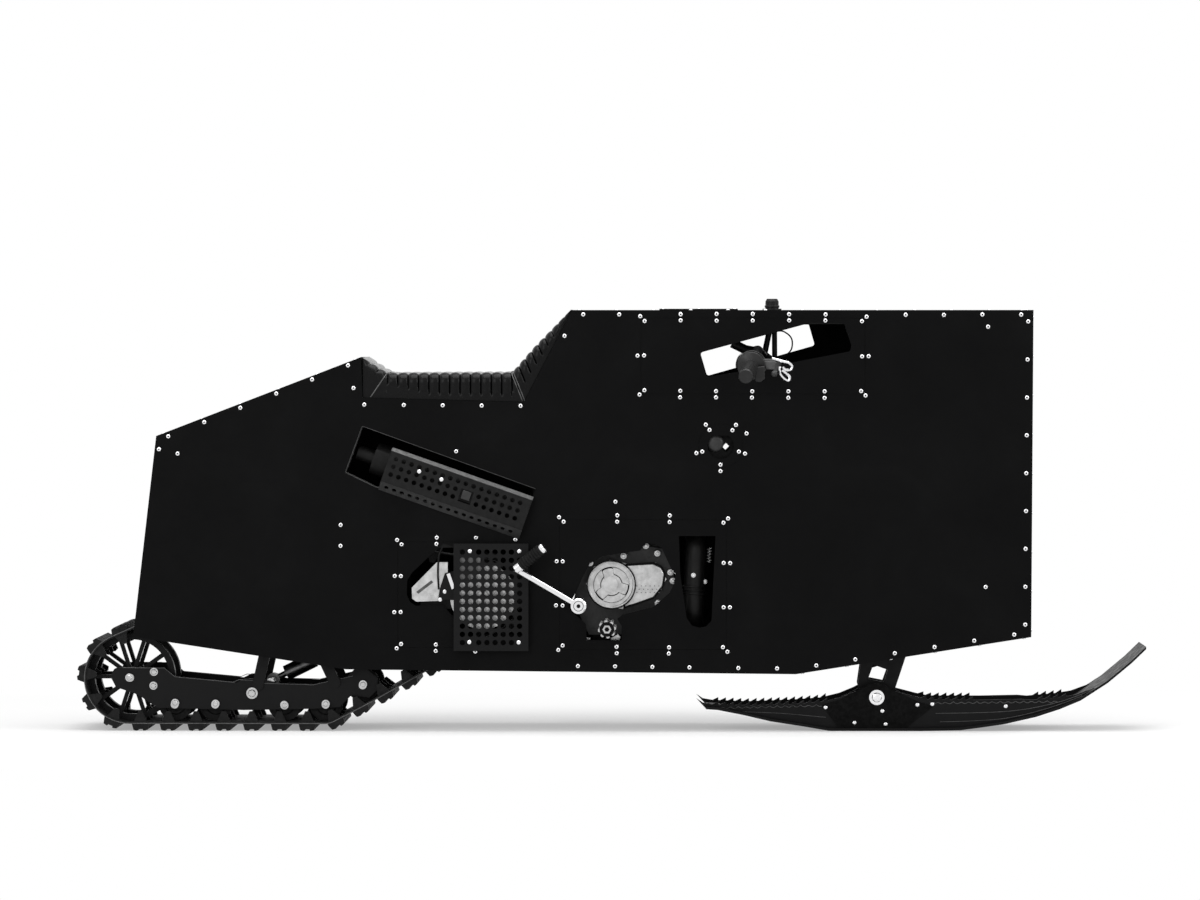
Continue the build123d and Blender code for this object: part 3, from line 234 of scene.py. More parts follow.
M = {
    "sheet": black_sheet(),
    "frame": black_frame(),
    "leather": leather(),
    "rubber": dull_black("black_rubber", tone=0.006, rough=0.62),
    "track": dull_black("track_rubber", tone=0.007, rough=0.62),
    "cast": cast_metal(),
    "steel": turned_steel("turned_steel", tone=0.5, rough=0.27),
    "dark_steel": turned_steel("dark_steel", tone=0.16, rough=0.36),
    "chrome": chrome(),
    "screw": screw_metal(),
    "exhaust": exhaust_paint(),
    "plastic": plastic(),
    "grip": dull_black("grip_rubber", tone=0.008, rough=0.36, spec=0.3),
    # Grey piping and thin lines: painted highlight on lit seams and edges
    "piping_and_highlight": dull_black("piping_and_painted_highlight", tone=0.05, rough=0.3, spec=0.5),
    "dark_cast": dull_black("dark_casting", tone=0.014, rough=0.4, spec=0.35),
    # Dark grey: painted highlight on lit edges, folds and thin lines, and some grey parts
    "edge": dull_black("grey_and_painted_highlight", tone=0.06, rough=0.4, spec=0.3),
    "shield": dull_black("shield_sheet_black", tone=0.0065, rough=0.5),
    # Near-black: painted shade in gaps, sockets and holes, and the ski's dark side plates
    "black_and_shade": dull_black("deep_black_and_painted_shade", tone=0.0015, rough=0.8),
}

# The nodes that aren't plain sheet
BY_NODE = {
    "rubber": ("bogie_wheels", "idler_wheels", "return_rollers"),
    "track": ("track",),
    "cast": ("engine_cover_left", "engine_cover_right", "drive_case"),
    "dark_cast": ("engine_block", "levers"),
    "steel": ("axle_shafts", "drive_shaft", "brake_disc"),
    "dark_steel": ("drive_sprockets", "brake_caliper", "track_shock"),
    "chrome": ("kick_starter", "shift_lever"),
    "exhaust": ("exhaust_header", "muffler"),
    "frame": ("main_frame", "side_frame_left", "side_frame_right", "backing_strips", "suspension_arms",
              "steering_stem", "handlebar", "ski_spindle", "ski_bracket", "ski", "rail_left", "rail_right",
              "rear_wheels", "muffler_shield", "brake_guard"),
    "plastic": ("top_knob",),
}
for name, obj in nodes.items():
    key = next((k for k, names in BY_NODE.items() if name in names), "sheet")
    obj.data.materials.clear()
    obj.data.materials.append(M[key])


# Mesh helpers; a form is a pair of vertices (metres) and faces
def mesh_obj(name, verts, faces, mat, smooth=True):
    me = bpy.data.meshes.new(name)
    me.from_pydata([tuple(v) for v in verts], [], faces)
    me.validate()
    me.update()
    o = bpy.data.objects.new(name, me)
    scene.collection.objects.link(o)
    me.materials.append(mat)
    for p in me.polygons:
        p.use_smooth = smooth
    return o


def add_bevel(o, width):
    """Rounded edges, where faces meet at more than 35 degrees."""
    m = o.modifiers.new("bevel", "BEVEL")
    m.width = width
    m.segments = 2
    m.limit_method = "ANGLE"
    m.angle_limit = math.radians(35)
    m.harden_normals = False


def auto_smooth(o, angle):
    """Smooth shading, with edges sharp from angle (degrees) on."""
    bm = bmesh.new()
    bm.from_mesh(o.data)
    lim = math.radians(angle)
    for e in bm.edges:
        e.smooth = len(e.link_faces) == 2 and e.calc_face_angle(0) < lim
    bm.to_mesh(o.data)
    bm.free()


def faces_outward(o):
    """Turn all faces to the outside."""
    bm = bmesh.new()
    bm.from_mesh(o.data)
    bmesh.ops.recalc_face_normals(bm, faces=bm.faces)
    bm.to_mesh(o.data)
    bm.free()


def merged(forms):
    """One form from several."""
    verts, faces = [], []
    for form_verts, form_faces in forms:
        base = len(verts)
        verts += form_verts
        faces += [tuple(i + base for i in face) for face in form_faces]
    return verts, faces


def joined(name, forms, mat, body, angle=35, bevel=0):
    """One object from several forms."""
    o = mesh_obj(name, *merged(forms), mat)
    auto_smooth(o, angle)
    if bevel:
        add_bevel(o, bevel)
    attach(o, body)
    return o


def revolve(profile, segs=32):
    """Form of a profile of (radius, height) turned about Z."""
    verts, faces = [], []
    rings = []
    for r, h in profile:
        if r < 1e-7:
            rings.append([len(verts)])
            verts.append(Vector((0, 0, h)))
        else:
            rings.append(list(range(len(verts), len(verts) + segs)))
            for k in range(segs):
                a = 2 * math.pi * k / segs
                verts.append(Vector((r * math.cos(a), r * math.sin(a), h)))
    for a, b in zip(rings, rings[1:]):
        for k in range(segs):
            j = (k + 1) % segs
            if len(a) == 1:
                faces.append((a[0], b[j], b[k]))
            elif len(b) == 1:
                faces.append((a[k], a[j], b[0]))
            else:
                faces.append((a[k], a[j], b[j], b[k]))
    return verts, faces


def ring_form(inner, outer, height, foot=0.0, segs=64):
    """Ring about Z that stands open on its foot."""
    return revolve([(inner, foot), (inner, height), (outer, height), (outer, foot)], segs)


def disc_form(radius, height, foot=0.0, segs=32):
    """Disc about Z that stands open on its foot."""
    return revolve([(radius, foot), (radius, height), (0, height)], segs)


def placed(form, at, axis, spin=0.0):
    """The form with its local Z along axis at a point."""
    q = Vector(UP).rotation_difference(Vector(axis).normalized())
    mat = Matrix.Translation(at) @ q.to_matrix().to_4x4() @ Matrix.Rotation(spin, 4, "Z")
    return [mat @ v for v in form[0]], form[1]


def on_both_sides(form, at, spin=0.0):
    """The form on the right side at a point, and its twin on the left."""
    return [placed(form, at_y(at, at.y * side), (0, -side, 0), spin) for side in (1, -1)]


def button_head(radius, height):
    """Domed screw head with a hexagon socket."""
    segs = 20
    dome = [(radius, 0), (radius, height * 0.22), (radius * 0.9, height * 0.62),
            (radius * 0.7, height * 0.92), (radius * 0.52, height)]
    verts, faces = revolve(dome, segs)
    rim, start = segs * (len(dome) - 1), len(verts)
    flat = radius * 0.45 * math.cos(math.pi / 6)
    for level in (0.98, 0.3):
        for k in range(segs):
            a = 2 * math.pi * k / segs
            reach = flat / math.cos((a + math.pi / 6) % (math.pi / 3) - math.pi / 6)
            verts.append(Vector((reach * math.cos(a), reach * math.sin(a), height * level)))
    verts.append(Vector((0, 0, height * 0.3)))
    for k in range(segs):
        j = (k + 1) % segs
        for low, high in ((rim, start), (start, start + segs)):
            faces.append((low + k, low + j, high + j, high + k))
        faces.append((start + segs + k, start + segs + j, start + 2 * segs))
    return verts, faces


def hex_bolt(radius, height, washer):
    """Hexagon head on a washer, which is given as a share of the head's radius."""
    foot = height * 0.16
    return merged([
        revolve([(radius * washer, 0), (radius * washer, foot), (radius * 1.02, height * 0.2)], 28),
        revolve([(radius, foot), (radius, height * 0.9), (radius * 0.86, height), (0, height)], 6),
    ])


def tube(points, radius, segs):
    """Round bar along points, closed at both ends."""
    verts, faces = [], []
    n = len(points)
    prev = None
    for i, p in enumerate(points):
        t = (points[min(i + 1, n - 1)] - points[max(i - 1, 0)]).normalized()
        if prev is None:
            side = t.cross(Vector(UP))
            if side.length < 1e-3:
                side = t.cross(Vector((1, 0, 0)))
        else:
            side = prev - t * prev.dot(t)
        side.normalize()
        prev = side
        other = t.cross(side)
        for k in range(segs):
            a = 2 * math.pi * k / segs
            verts.append(p + side * radius * math.cos(a) + other * radius * math.sin(a))
    for i in range(n - 1):
        for k in range(segs):
            j = (k + 1) % segs
            faces.append((i * segs + k, i * segs + j, (i + 1) * segs + j, (i + 1) * segs + k))
    faces.append(tuple(range(segs - 1, -1, -1)))
    faces.append(tuple(range((n - 1) * segs, n * segs)))
    return verts, faces


def bar_between(a, b, profile, segs):
    """Turned form along a line; the profile gives (radius in mm, share of the length)."""
    length = (b - a).length
    return placed(revolve([(r / 1000, s * length) for r, s in profile], segs), a, b - a)


def slab(points, y0, y1):
    """Prism between two y levels (metres) over points seen from the side."""
    n = len(points)
    verts = [at_y(p, y) for y in (y0, y1) for p in points]
    faces = [tuple(range(n)), tuple(range(2 * n - 1, n - 1, -1))]
    faces += [(k, k + n, (k + 1) % n + n, (k + 1) % n) for k in range(n)]
    return verts, faces


def flat_plate(pixels, y_face, thick):
    """Prism of photo pixels whose outer face lies at y_face (mm)."""
    return slab(trace(pixels, y_face), y_face / 1000, (y_face + thick) / 1000)


def smooth_line(points, steps):
    """Smooth curve through the points, with as many steps between each two."""
    out = []
    n = len(points)
    for i in range(n - 1):
        p0, p1, p2, p3 = (points[max(i - 1, 0)], points[i], points[i + 1], points[min(i + 2, n - 1)])
        for k in range(steps):
            t = k / steps
            out.append(0.5 * ((2 * p1) + (p2 - p0) * t + (2 * p0 - 5 * p1 + 4 * p2 - p3) * t * t +
                              (3 * p1 - p0 - 3 * p2 + p3) * t ** 3))
    out.append(points[-1].copy())
    return out


# Panel screws, read off the photograph; the left side has the same ones
ROW_TOP = [(583.2, 314.5), (619.2, 314.5), (680.6, 314.3), (716.5, 314), (752.7, 314), (789, 314.3),
           (825.4, 314.6), (905.4, 314.9), (943.5, 315), (981.9, 314.6), (1020.6, 314.7)]
WINDOW = [(640.2, 316.3), (644.6, 321.1), (680.6, 320.4), (716.6, 320.8), (752.6, 320.6), (789, 320.5),
          (825.2, 320.6), (866.4, 316.8), (861.7, 321.3), (637.5, 355.7), (644, 355.5), (861.9, 356.4),
          (868.4, 356.2), (644.4, 390.2), (639.5, 394.6), (680.3, 390.8), (716, 391.1), (752.2, 391.3),
          (788.3, 391.3), (824.5, 391.3), (680.1, 397.3), (716, 397.4), (751.9, 397.6), (788.2, 397.8),
          (824.5, 397.9), (860.9, 391), (865.4, 395.5)]
FRONT = [(1027.6, 321.5), (1027, 359.5), (1026.5, 397.5), (1026.3, 435.2), (1025.9, 473.1),
         (1025.7, 510.9), (1025.3, 548.7), (1025.2, 586.6), (1025.1, 624.5), (987.6, 326.8),
         (985.5, 586.9)]
BELLY = [(1014.1, 634.5), (974.2, 640.6), (934.6, 647), (894.9, 653.2), (855.4, 659.4), (816.4, 665.6),
         (577.8, 666.4), (615, 666.6), (652.4, 667.2), (689.5, 667.6), (738.4, 668.2), (777.2, 668.6)]
SEAT_ROW = [(564.5, 335.9), (363.9, 404.7), (403.5, 405.1), (442.5, 405.4), (481.5, 405.7),
            (520.5, 405.9)]
DECK = [(347.7, 365.5), (311.6, 379.6), (275.7, 393.7), (239.6, 407.9), (203.4, 422.3), (167.3, 436.5),
        (353.1, 388.1), (157.9, 449.4), (176.6, 453.8)]
SINGLES = [(455.9, 451.5), (340.1, 525.2), (340, 546.2), (615.4, 501.8)]
PORT = [(705.8, 424.7), (735.9, 424.9), (746.6, 433.4), (696.4, 453.1), (745, 453.6), (720.5, 471.1),
        (709.5, 429.9), (732.4, 430.2), (702.3, 451.6), (738.9, 451.6), (720.5, 464.7)]
ENGINE = [(558.9, 517.4), (563.5, 521.9), (617.3, 515.4), (617.1, 521.8), (669.7, 515.6), (669.6, 522.1),
          (728.1, 518.5), (723.5, 522.8), (556.5, 561.5), (562.6, 561.6), (723.7, 563), (730.2, 563.2),
          (555.9, 605.6), (562.5, 605.8), (723.7, 607.4), (730, 607.4), (562.6, 645.8), (558.2, 650.3),
          (616.5, 647.1), (616.7, 653.5), (669.1, 647.6), (668.8, 653.8), (723, 647.4), (727.5, 652)]
BRAKE = [(396.7, 540.2), (401.2, 544.6), (436.5, 537.8), (436.2, 544.1), (475.8, 537.9), (515.1, 539.8),
         (394.3, 576.3), (400.5, 576.4), (393.8, 612.6), (400.2, 612.5), (396.2, 648.8), (400.7, 644.5),
         (435.5, 645), (435.4, 651.4), (475, 651.9)]
SCREWS = ROW_TOP + WINDOW + FRONT + BELLY + SEAT_ROW + DECK + SINGLES + PORT + ENGINE + BRAKE
HEAD = button_head(0.0052, 0.0027)
# Near-black discs in the screws' hexagon sockets: painted shade
SOCKET = disc_form(0.0019, 0.0003, segs=6)
SOCKET_LIFT = 0.0025
heads, sockets = [], []
for k, (px, py) in enumerate(SCREWS):
    at = P(px, py)
    for side, turn in ((-1, 1.7), (1, 2.3)):
        foot = at_y(at, -at.y * side)
        heads.append(placed(HEAD, foot, (0, side, 0), k * turn))
        sockets.append(placed(SOCKET, at_y(at, foot.y + side * SOCKET_LIFT), (0, side, 0), k))
joined("panel_screws", heads, M["screw"], "chassis", angle=50)
joined("screw_sockets", sockets, M["black_and_shade"], "chassis")

# Rows of screws on the strips that close the body: their ends x, z in mm, and the screws on each edge
STRIPS = [((-89, 973), (971, 973), 13), ((971, 973), (967, 221), 9), ((-1048, 683), (-575, 865), 6),
          ((967, 221), (426, 135), 6), ((-1062, 560), (-1088, 340), 3)]
STRIP_END, STRIP_EDGE = 16, 146
SMALL_HEAD = button_head(0.0045, 0.0024)
heads = []
for start, stop, count in STRIPS:
    a, b = Vector((start[0], 0, start[1])), Vector((stop[0], 0, stop[1]))
    u = (b - a).normalized()
    out = Vector((-u.z, 0, u.x))
    for k in range(count):
        q = a + u * (STRIP_END + ((b - a).length - 2 * STRIP_END) * k / (count - 1))
        heads += [placed(SMALL_HEAD, W(q.x, y, q.z), out, k + y) for y in (-STRIP_EDGE, STRIP_EDGE)]
    for y in (-STRIP_EDGE / 2, 0, STRIP_EDGE / 2):
        heads += [placed(SMALL_HEAD, W(q.x, y, q.z), out, y) for q in (a + u * STRIP_END, b - u * STRIP_END)]
joined("strip_screws", heads, M["screw"], "chassis", angle=50)

# Seat: corners x, z in millimetres of its three padded blocks
WALL_TOP, WALL_FOOT, REAR_MITRE = (-571.4, 863.0), (-571.4, 771.6), (-554.0, 771.1)
SLOPE_FOOT, BENCH_FRONT = (-515.5, 828.5), (-227.5, 830.0)
FRONT_MITRE, DASH_TOP = (-200.6, 761.8), (-90.2, 973.0)
DASH_BEND, DASH_END = (-176.5, 889.0), (-91.5, 974.2)
BENCH_LEVEL = 829.0
SEAT_HALF, SEAT_CORNER, SEAT_CROWN = 153.0, 23.0, 1.5
REAR_ROLLS, BENCH_ROLLS, DASH_ROLLS = 3, 12, 9
ROLL_DEPTH, ROLL_STEPS = 7.0, 12
FULL_ROLL_HEIGHT = 40.0
BORDER_INSET, BORDER_FADE = 1.2, 0.1
SIDE_STEPS, TOP_STEPS = 26, 24


def seat_ring(base, top, dent, border, outer=None):
    """Cross-section from one side's foot over the top to the other; dent sinks it above the border."""
    rise = Vector((top[0] - base[0], 0, top[1] - base[1]))
    height = max(rise.length, 0.3)
    up = rise.normalized() if rise.length > 1e-6 else Vector(UP)
    outer = max(outer or height, height)
    corner = min(SEAT_CORNER, outer * 0.8)
    straight = min(height, outer - corner)
    turn = math.asin(max(0.0, min(1.0, (height - straight) / corner)))
    path = []
    for k in range(SIDE_STEPS + 1):
        reach = k / SIDE_STEPS * (straight + corner * turn)
        a = max(0.0, reach - straight) / corner
        y = corner * (1 - math.cos(a)) - SEAT_HALF
        path.append((y, min(reach, straight) + corner * math.sin(a), -math.cos(a), math.sin(a)))
    edge = -path[-1][0]
    path += [(edge * (2 * k / TOP_STEPS - 1), height, 0.0, 1.0) for k in range(1, TOP_STEPS)]
    path += [(-y, h, -out, lift) for y, h, out, lift in reversed(path[:SIDE_STEPS + 1])]
    ring = []
    for y, h, out, lift in path:
        fade = min(1.0, max(0.0, (h / outer - border) / BORDER_FADE))
        fade *= fade * (3 - 2 * fade)
        sink = -dent * fade * min(1.0, height / FULL_ROLL_HEIGHT) - BORDER_INSET * (1 - fade) * abs(out)
        crown = SEAT_CROWN * (1 - (y / SEAT_HALF) ** 2)
        p = Vector((base[0], 0, base[1])) + up * (h + lift * (sink + crown))
        ring.append(W(p.x, y + out * sink, p.z))
    return ring


def seat_block(stations, borders, rolled, outer=None):
    """Closed padded block through stations of (base, top), with one roll between each two."""
    rings = []
    for k, ((b0, t0), (b1, t1)) in enumerate(zip(stations, stations[1:])):
        for j in range(ROLL_STEPS + (1 if k == len(stations) - 2 else 0)):
            u = 0.5 - 0.5 * math.cos(math.pi * j / ROLL_STEPS)
            bulge = math.sqrt(max(0.0, 1 - (2 * u - 1) ** 2)) ** 0.8
            dent = ROLL_DEPTH * (1 - bulge) if rolled[k] else ROLL_DEPTH * 0.25
            reach = outer and outer[k] + (outer[k + 1] - outer[k]) * u
            rings.append(seat_ring(line(b0, b1, u), line(t0, t1, u), dent, borders[k], reach))
    n = len(rings[0])
    verts = [v for ring in rings for v in ring]
    faces = [(i * n + k, i * n + (k + 1) % n, (i + 1) * n + (k + 1) % n, (i + 1) * n + k)
             for i in range(len(rings) - 1) for k in range(n)]
    faces += [tuple(range(n - 1, -1, -1)), tuple(range((len(rings) - 1) * n, len(rings) * n))]
    return verts, faces


def along_path(points, t):
    """Point at share t of a polyline's length."""
    spans = [math.dist(a, b) for a, b in zip(points, points[1:])]
    reach = t * sum(spans)
    for a, b, length in zip(points, points[1:], spans):
        if reach <= length:
            return line(a, b, reach / length)
        reach -= length
    return points[-1]


def height_at(points, x):
    """Height at x of a polyline that runs forward."""
    for a, b in zip(points, points[1:]):
        if x < b[0]:
            break
    return line(a, b, (x - a[0]) / (b[0] - a[0]))[1]


rear_base = [WALL_TOP, line(WALL_TOP, WALL_FOOT, 0.5), WALL_FOOT, REAR_MITRE]
rear = [(foot, line(WALL_TOP, SLOPE_FOOT, k / REAR_ROLLS)) for k, foot in enumerate(rear_base)]
roll = (BENCH_FRONT[0] - SLOPE_FOOT[0]) / BENCH_ROLLS
bench_x = [REAR_MITRE[0]] + [SLOPE_FOOT[0] + roll * k for k in range(BENCH_ROLLS + 1)] + [FRONT_MITRE[0]]
bench_foot = [height_at([REAR_MITRE, FRONT_MITRE], x) for x in bench_x]
bench_top = [height_at([REAR_MITRE, SLOPE_FOOT, BENCH_FRONT, FRONT_MITRE], x) for x in bench_x]
bench = [((x, foot), (x, max(top, foot + 0.3))) for x, foot, top in zip(bench_x, bench_foot, bench_top)]
bench_outer = [BENCH_LEVEL - foot for foot in bench_foot]
dash_top = [BENCH_FRONT, DASH_BEND, DASH_END]
dash = [(line(FRONT_MITRE, DASH_TOP, k / DASH_ROLLS), along_path(dash_top, k / DASH_ROLLS))
        for k in range(DASH_ROLLS + 1)]

# The plain border under the rolls, as shares of the side's height
REAR_SHARE, DASH_SHARE, MITRE_SHARES = 0.84, 0.3, (0.2, 0.3)
BENCH_SHARE, EXTRA_SHARE, EXTRA_ROLLS = 0.16, 0.36, 4
bench_shares = [BENCH_SHARE + EXTRA_SHARE * max(0.0, 1 - k / EXTRA_ROLLS) for k in range(BENCH_ROLLS)]
bench_shares = [MITRE_SHARES[0]] + bench_shares + [MITRE_SHARES[1]]
blocks = [seat_block(rear, [REAR_SHARE] * REAR_ROLLS, [True] * REAR_ROLLS),
          seat_block(bench, bench_shares, [False] + [True] * (BENCH_ROLLS + 1), bench_outer),
          seat_block(dash, [DASH_SHARE] * DASH_ROLLS, [True] * DASH_ROLLS)]
seat = joined("rolled_seat", blocks, M["leather"], "chassis", angle=70)
faces_outward(seat)
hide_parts("seat")

# Piping along the seams, lighter than the leather as a painted highlight: foot and head of each, and its
# shift along X
PIPED_SEAMS = ((FRONT_MITRE, BENCH_FRONT, -2.5), (FRONT_MITRE, BENCH_FRONT, 3.0),
               (REAR_MITRE, SLOPE_FOOT, 0.0))
PIPING_RADIUS, PIPING_DENT, ALL_BORDER = 0.0013, 1.2, 2.0
piping_and_highlight = []
for foot, top, shift in PIPED_SEAMS:
    ring = seat_ring((foot[0] + shift, foot[1] + 1), (top[0] + shift, top[1]), PIPING_DENT, ALL_BORDER)
    piping_and_highlight.append(tube(ring, PIPING_RADIUS, 8))
joined("seat_piping", piping_and_highlight, M["piping_and_highlight"], "chassis")

# Ribbed grips with their flanges
FLANGE, GRIP_TIP = Vector((324, 250, 848)), Vector((309, 374, 822))
GRIP_WAY = (GRIP_TIP - FLANGE).normalized()
GRIP_INSET, GRIP_OVERHANG = 12, 6.3
RIBS, RIB_START, RIB_PITCH = 9, 0.08, 0.86 / 9
RIB_LOW, RIB_HIGH = 13.4, 16.6
profile = [(11.4, 0.0), (31.5, 0.0), (32.5, 0.012), (32.5, 0.04), (31.0, 0.052), (17.5, 0.056)]
for k in range(RIBS):
    s = RIB_START + RIB_PITCH * k
    profile += [(RIB_LOW, s), (RIB_LOW, s + RIB_PITCH * 0.35)]
    profile += [(RIB_HIGH, s + RIB_PITCH * 0.42), (RIB_HIGH, s + RIB_PITCH * 0.94)]
profile += [(RIB_HIGH, 0.95), (RIB_HIGH, 0.985), (15.2, 1.0), (0, 1.0)]
grips = []
for side in (-1, 1):
    ends = (FLANGE + GRIP_WAY * GRIP_INSET, GRIP_TIP + GRIP_WAY * GRIP_OVERHANG)
    a, b = (W(p.x, side * p.y, p.z) for p in ends)
    grips.append(bar_between(a, b, profile, 36))
grip = joined("ribbed_grips", grips, M["grip"], "steering", angle=50)
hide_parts("grips")

# Rubber sleeve and bright tip of the kick pedal, and the cap of its hub
PEDAL_START, PEDAL_END = W(-217, -200, 378), W(-151, -214, 430)
KICK_HUB = W(-73, -207.5, 294)
SLEEVE_RIBS, SLEEVE_START, SLEEVE_END = 9, 0.16, 0.88
SLEEVE_LOW, SLEEVE_HIGH = 12.4, 14.0
sleeve = [(12.2, SLEEVE_START)]
for k in range(SLEEVE_RIBS):
    s = SLEEVE_START + (SLEEVE_END - SLEEVE_START) * k / SLEEVE_RIBS
    sleeve += [(SLEEVE_LOW, s), (SLEEVE_HIGH, s + 0.012), (SLEEVE_HIGH, s + 0.052), (SLEEVE_LOW, s + 0.064)]
sleeve += [(SLEEVE_LOW, SLEEVE_END), (0, SLEEVE_END)]
pedal_tip = [(12.5, SLEEVE_END), (13.5, 0.9), (13.5, 0.96), (11, 1.0), (0, 1.004)]
hub_cap = revolve([(0.0175, 0.0), (0.0178, 0.004), (0.0178, 0.009), (0.015, 0.0112), (0.0075, 0.0115),
                   (0.0072, 0.0095), (0, 0.0095)])
joined("pedal_rubber", [bar_between(PEDAL_START, PEDAL_END, sleeve, 28)], M["rubber"], "chassis")
joined("pedal_tip", [bar_between(PEDAL_START, PEDAL_END, pedal_tip, 28)], M["chrome"], "chassis")
joined("kick_hub_cap", [placed(hub_cap, KICK_HUB, RIGHT)], M["chrome"], "chassis")

# Relief of the clutch cover: rings of (inner, outer, height), and a boss with three arms, angles in degrees
COVER_FACE = -0.1282
COVER = at_y(P(611.4, 585, -129), COVER_FACE)
COVER_RINGS = ((0.0505, 0.0535, 0.0022), (0.0395, 0.041, 0.0010), (0.0205, 0.0222, 0.0012))
COVER_GAPS = ((0.0545, 0.0568, 0.0010), (0.0222, 0.0232, 0.0006), (0.0410, 0.0417, 0.0006))
ARM_ANGLES, ARM_HALF, ARM_FLANK = (105, -18, -138), 19, 7
BOSS_RADIUS, ARM_REACH, ARM_STEP = 0.0240, 0.0145, 5
ARM_LEVELS, ARM_GAP_LEVELS, ARM_GAP = (-0.1306, -0.1280), (-0.1296, -0.1280), 1.07
arms = []
for angle in range(0, 360, ARM_STEP):
    near = min(abs((angle - arm + 180) % 360 - 180) for arm in ARM_ANGLES)
    r = BOSS_RADIUS + ARM_REACH * max(0.0, min(1.0, (ARM_HALF + ARM_FLANK - near) / ARM_FLANK))
    arms.append(COVER + r * Vector((math.cos(math.radians(angle)), 0, math.sin(math.radians(angle)))))
relief = [placed(ring_form(*sizes), COVER, RIGHT) for sizes in COVER_RINGS]
relief.append(slab(arms, *ARM_LEVELS))
joined("clutch_relief", relief, M["cast"], "chassis", angle=30, bevel=0.0006)

# Painted shade: near-black gaps round the relief, the pad and the kick starter's hub
HUB_FACE = W(-73, -219.2, 294)
PAD = [(627, 565.6), (653, 564), (660.5, 567.5), (664, 574), (662.5, 586), (653.5, 597.5), (637, 603.5),
       (625, 607)]
PAD_CENTRE, PAD_FACE, PAD_GAP = (643, 585), -122.3, 1.09
gaps = [placed(ring_form(*sizes, foot=-0.001), COVER, RIGHT) for sizes in COVER_GAPS]
gaps.append(slab([COVER + (p - COVER) * ARM_GAP for p in arms], *ARM_GAP_LEVELS))
gaps.append(placed(disc_form(0.0045, 0.0004, segs=20), HUB_FACE, RIGHT))
gaps.append(placed(ring_form(0.0105, 0.0118, 0.0004, segs=32), HUB_FACE, RIGHT))
gaps.append(flat_plate([line(PAD_CENTRE, p, PAD_GAP) for p in PAD], -120.9, 3))
joined("engine_gaps", gaps, M["black_and_shade"], "chassis")
joined("case_pad", [flat_plate(PAD, PAD_FACE, 4.2)], M["cast"], "chassis", angle=30, bevel=0.002)

# Dimples of the pad in three rows, drawn as small darker domes: painted shade of the hollows
DIMPLE = revolve([(0.0014, 0.0), (0.0012, 0.0006), (0.0006, 0.001), (0, 0.0011)], 10)
DIMPLE_START, DIMPLE_PITCH, DIMPLE_FACE = 637, 4.4, -0.1222
dimples = []
for row, py in enumerate((586, 589.4, 592.6)):
    for k in range(6):
        at = P(DIMPLE_START + DIMPLE_PITCH * (k + row % 2 / 2), py, -122)
        dimples.append(placed(DIMPLE, at_y(at, DIMPLE_FACE), RIGHT))
joined("case_dimples", dimples, M["dark_steel"], "chassis")

# Bolts and bosses of the engine covers
CASE_SCREWS = [(623.5, 556.2), (590.2, 563.3), (670.5, 572.5), (672.8, 581), (657.9, 603.5), (645.9, 546),
               (657.3, 553.5)]
CASE_BOLT = hex_bolt(0.0042, 0.005, 1.25)
BOSS = revolve([(0.0075, -0.026), (0.0075, 0.0), (0.0068, 0.0006), (0, 0.0006)], 20)
case_bolts, bosses = [], []
for px, py in CASE_SCREWS:
    case_bolts += on_both_sides(CASE_BOLT, P(px, py, -121), px)
    bosses += on_both_sides(BOSS, P(px, py, -120.5))
joined("case_bolts", case_bolts, M["steel"], "chassis")
joined("case_bosses", bosses, M["cast"], "chassis")

# Toothed rings and hexagon hole of each footpeg
PEG = W(-7, 0, 243)
PEG_TIP = 0.2582
PEG_STEPS, STEPS_A_TOOTH = 48, 6
PEG_RADIUS, PEG_TOOTH = 0.0170, 0.0036
PEG_RINGS, PEG_START, PEG_PITCH, PEG_RING = 6, 0.150, 0.0195, 0.010
star = []
for k in range(PEG_STEPS):
    a = 2 * math.pi * k / PEG_STEPS
    r = PEG_RADIUS + (PEG_TOOTH if k % STEPS_A_TOOTH < 3 else 0.0)
    star.append(PEG + Vector((r * math.cos(a), 0, r * math.sin(a))))
for side, label in ((-1, "right"), (1, "left")):
    starts = [PEG_START + PEG_PITCH * k for k in range(PEG_RINGS)]
    rings = [slab(star, side * y, side * (y + PEG_RING)) for y in starts]
    hole = ring_form(0.0058, 0.0102, 0.0022, segs=6)
    rings.append(placed(hole, at_y(PEG, side * (PEG_TIP + 0.0004)), (0, side, 0)))
    # Near-black disc on the peg's end, seen through the hexagon hole: painted shade
    face = placed(disc_form(0.0165, 0.0005, foot=-0.001), at_y(PEG, side * PEG_TIP), (0, side, 0))
    joined("peg_face_" + label, [face], M["black_and_shade"], "chassis")
    joined("peg_teeth_" + label, rings, M["steel"], "chassis", angle=30)

# Clamp rings and bolt of the header pipe
CLAMP = revolve([(0.0240, -0.0022), (0.0262, -0.0014), (0.0268, 0), (0.0262, 0.0014), (0.0240, 0.0022)], 36)
CLAMP_PIXELS, PIPE_Y, PIPE_WAY = [(693.6, 586.5), (693.8, 590), (694.0, 593.5)], -108, (0.05, 0, 1)
clamps = [placed(CLAMP, at, PIPE_WAY) for at in trace(CLAMP_PIXELS, PIPE_Y)]
joined("header_rings", clamps, M["exhaust"], "chassis")
header_bolt = placed(CASE_BOLT, at_y(P(693.5, 575.3, -133), -0.1315), RIGHT)
joined("header_bolt", [header_bolt], M["screw"], "chassis")

# Screws of the guard and the shield
GUARD_SCREWS, GUARD_FACE = [(469.6, 551.3), (519.1, 551.5), (469, 642.5), (518.5, 642.7)], -184.6
SHIELD_SCREWS, SHIELD_HEADS = [(418.9, 471.6), (441.2, 479.5)], -186.2
guard = [placed(HEAD, P(px, py, y), RIGHT, px)
         for pixels, y in ((GUARD_SCREWS, GUARD_FACE), (SHIELD_SCREWS, SHIELD_HEADS)) for px, py in pixels]
joined("guard_screws", guard, M["screw"], "chassis", angle=50)

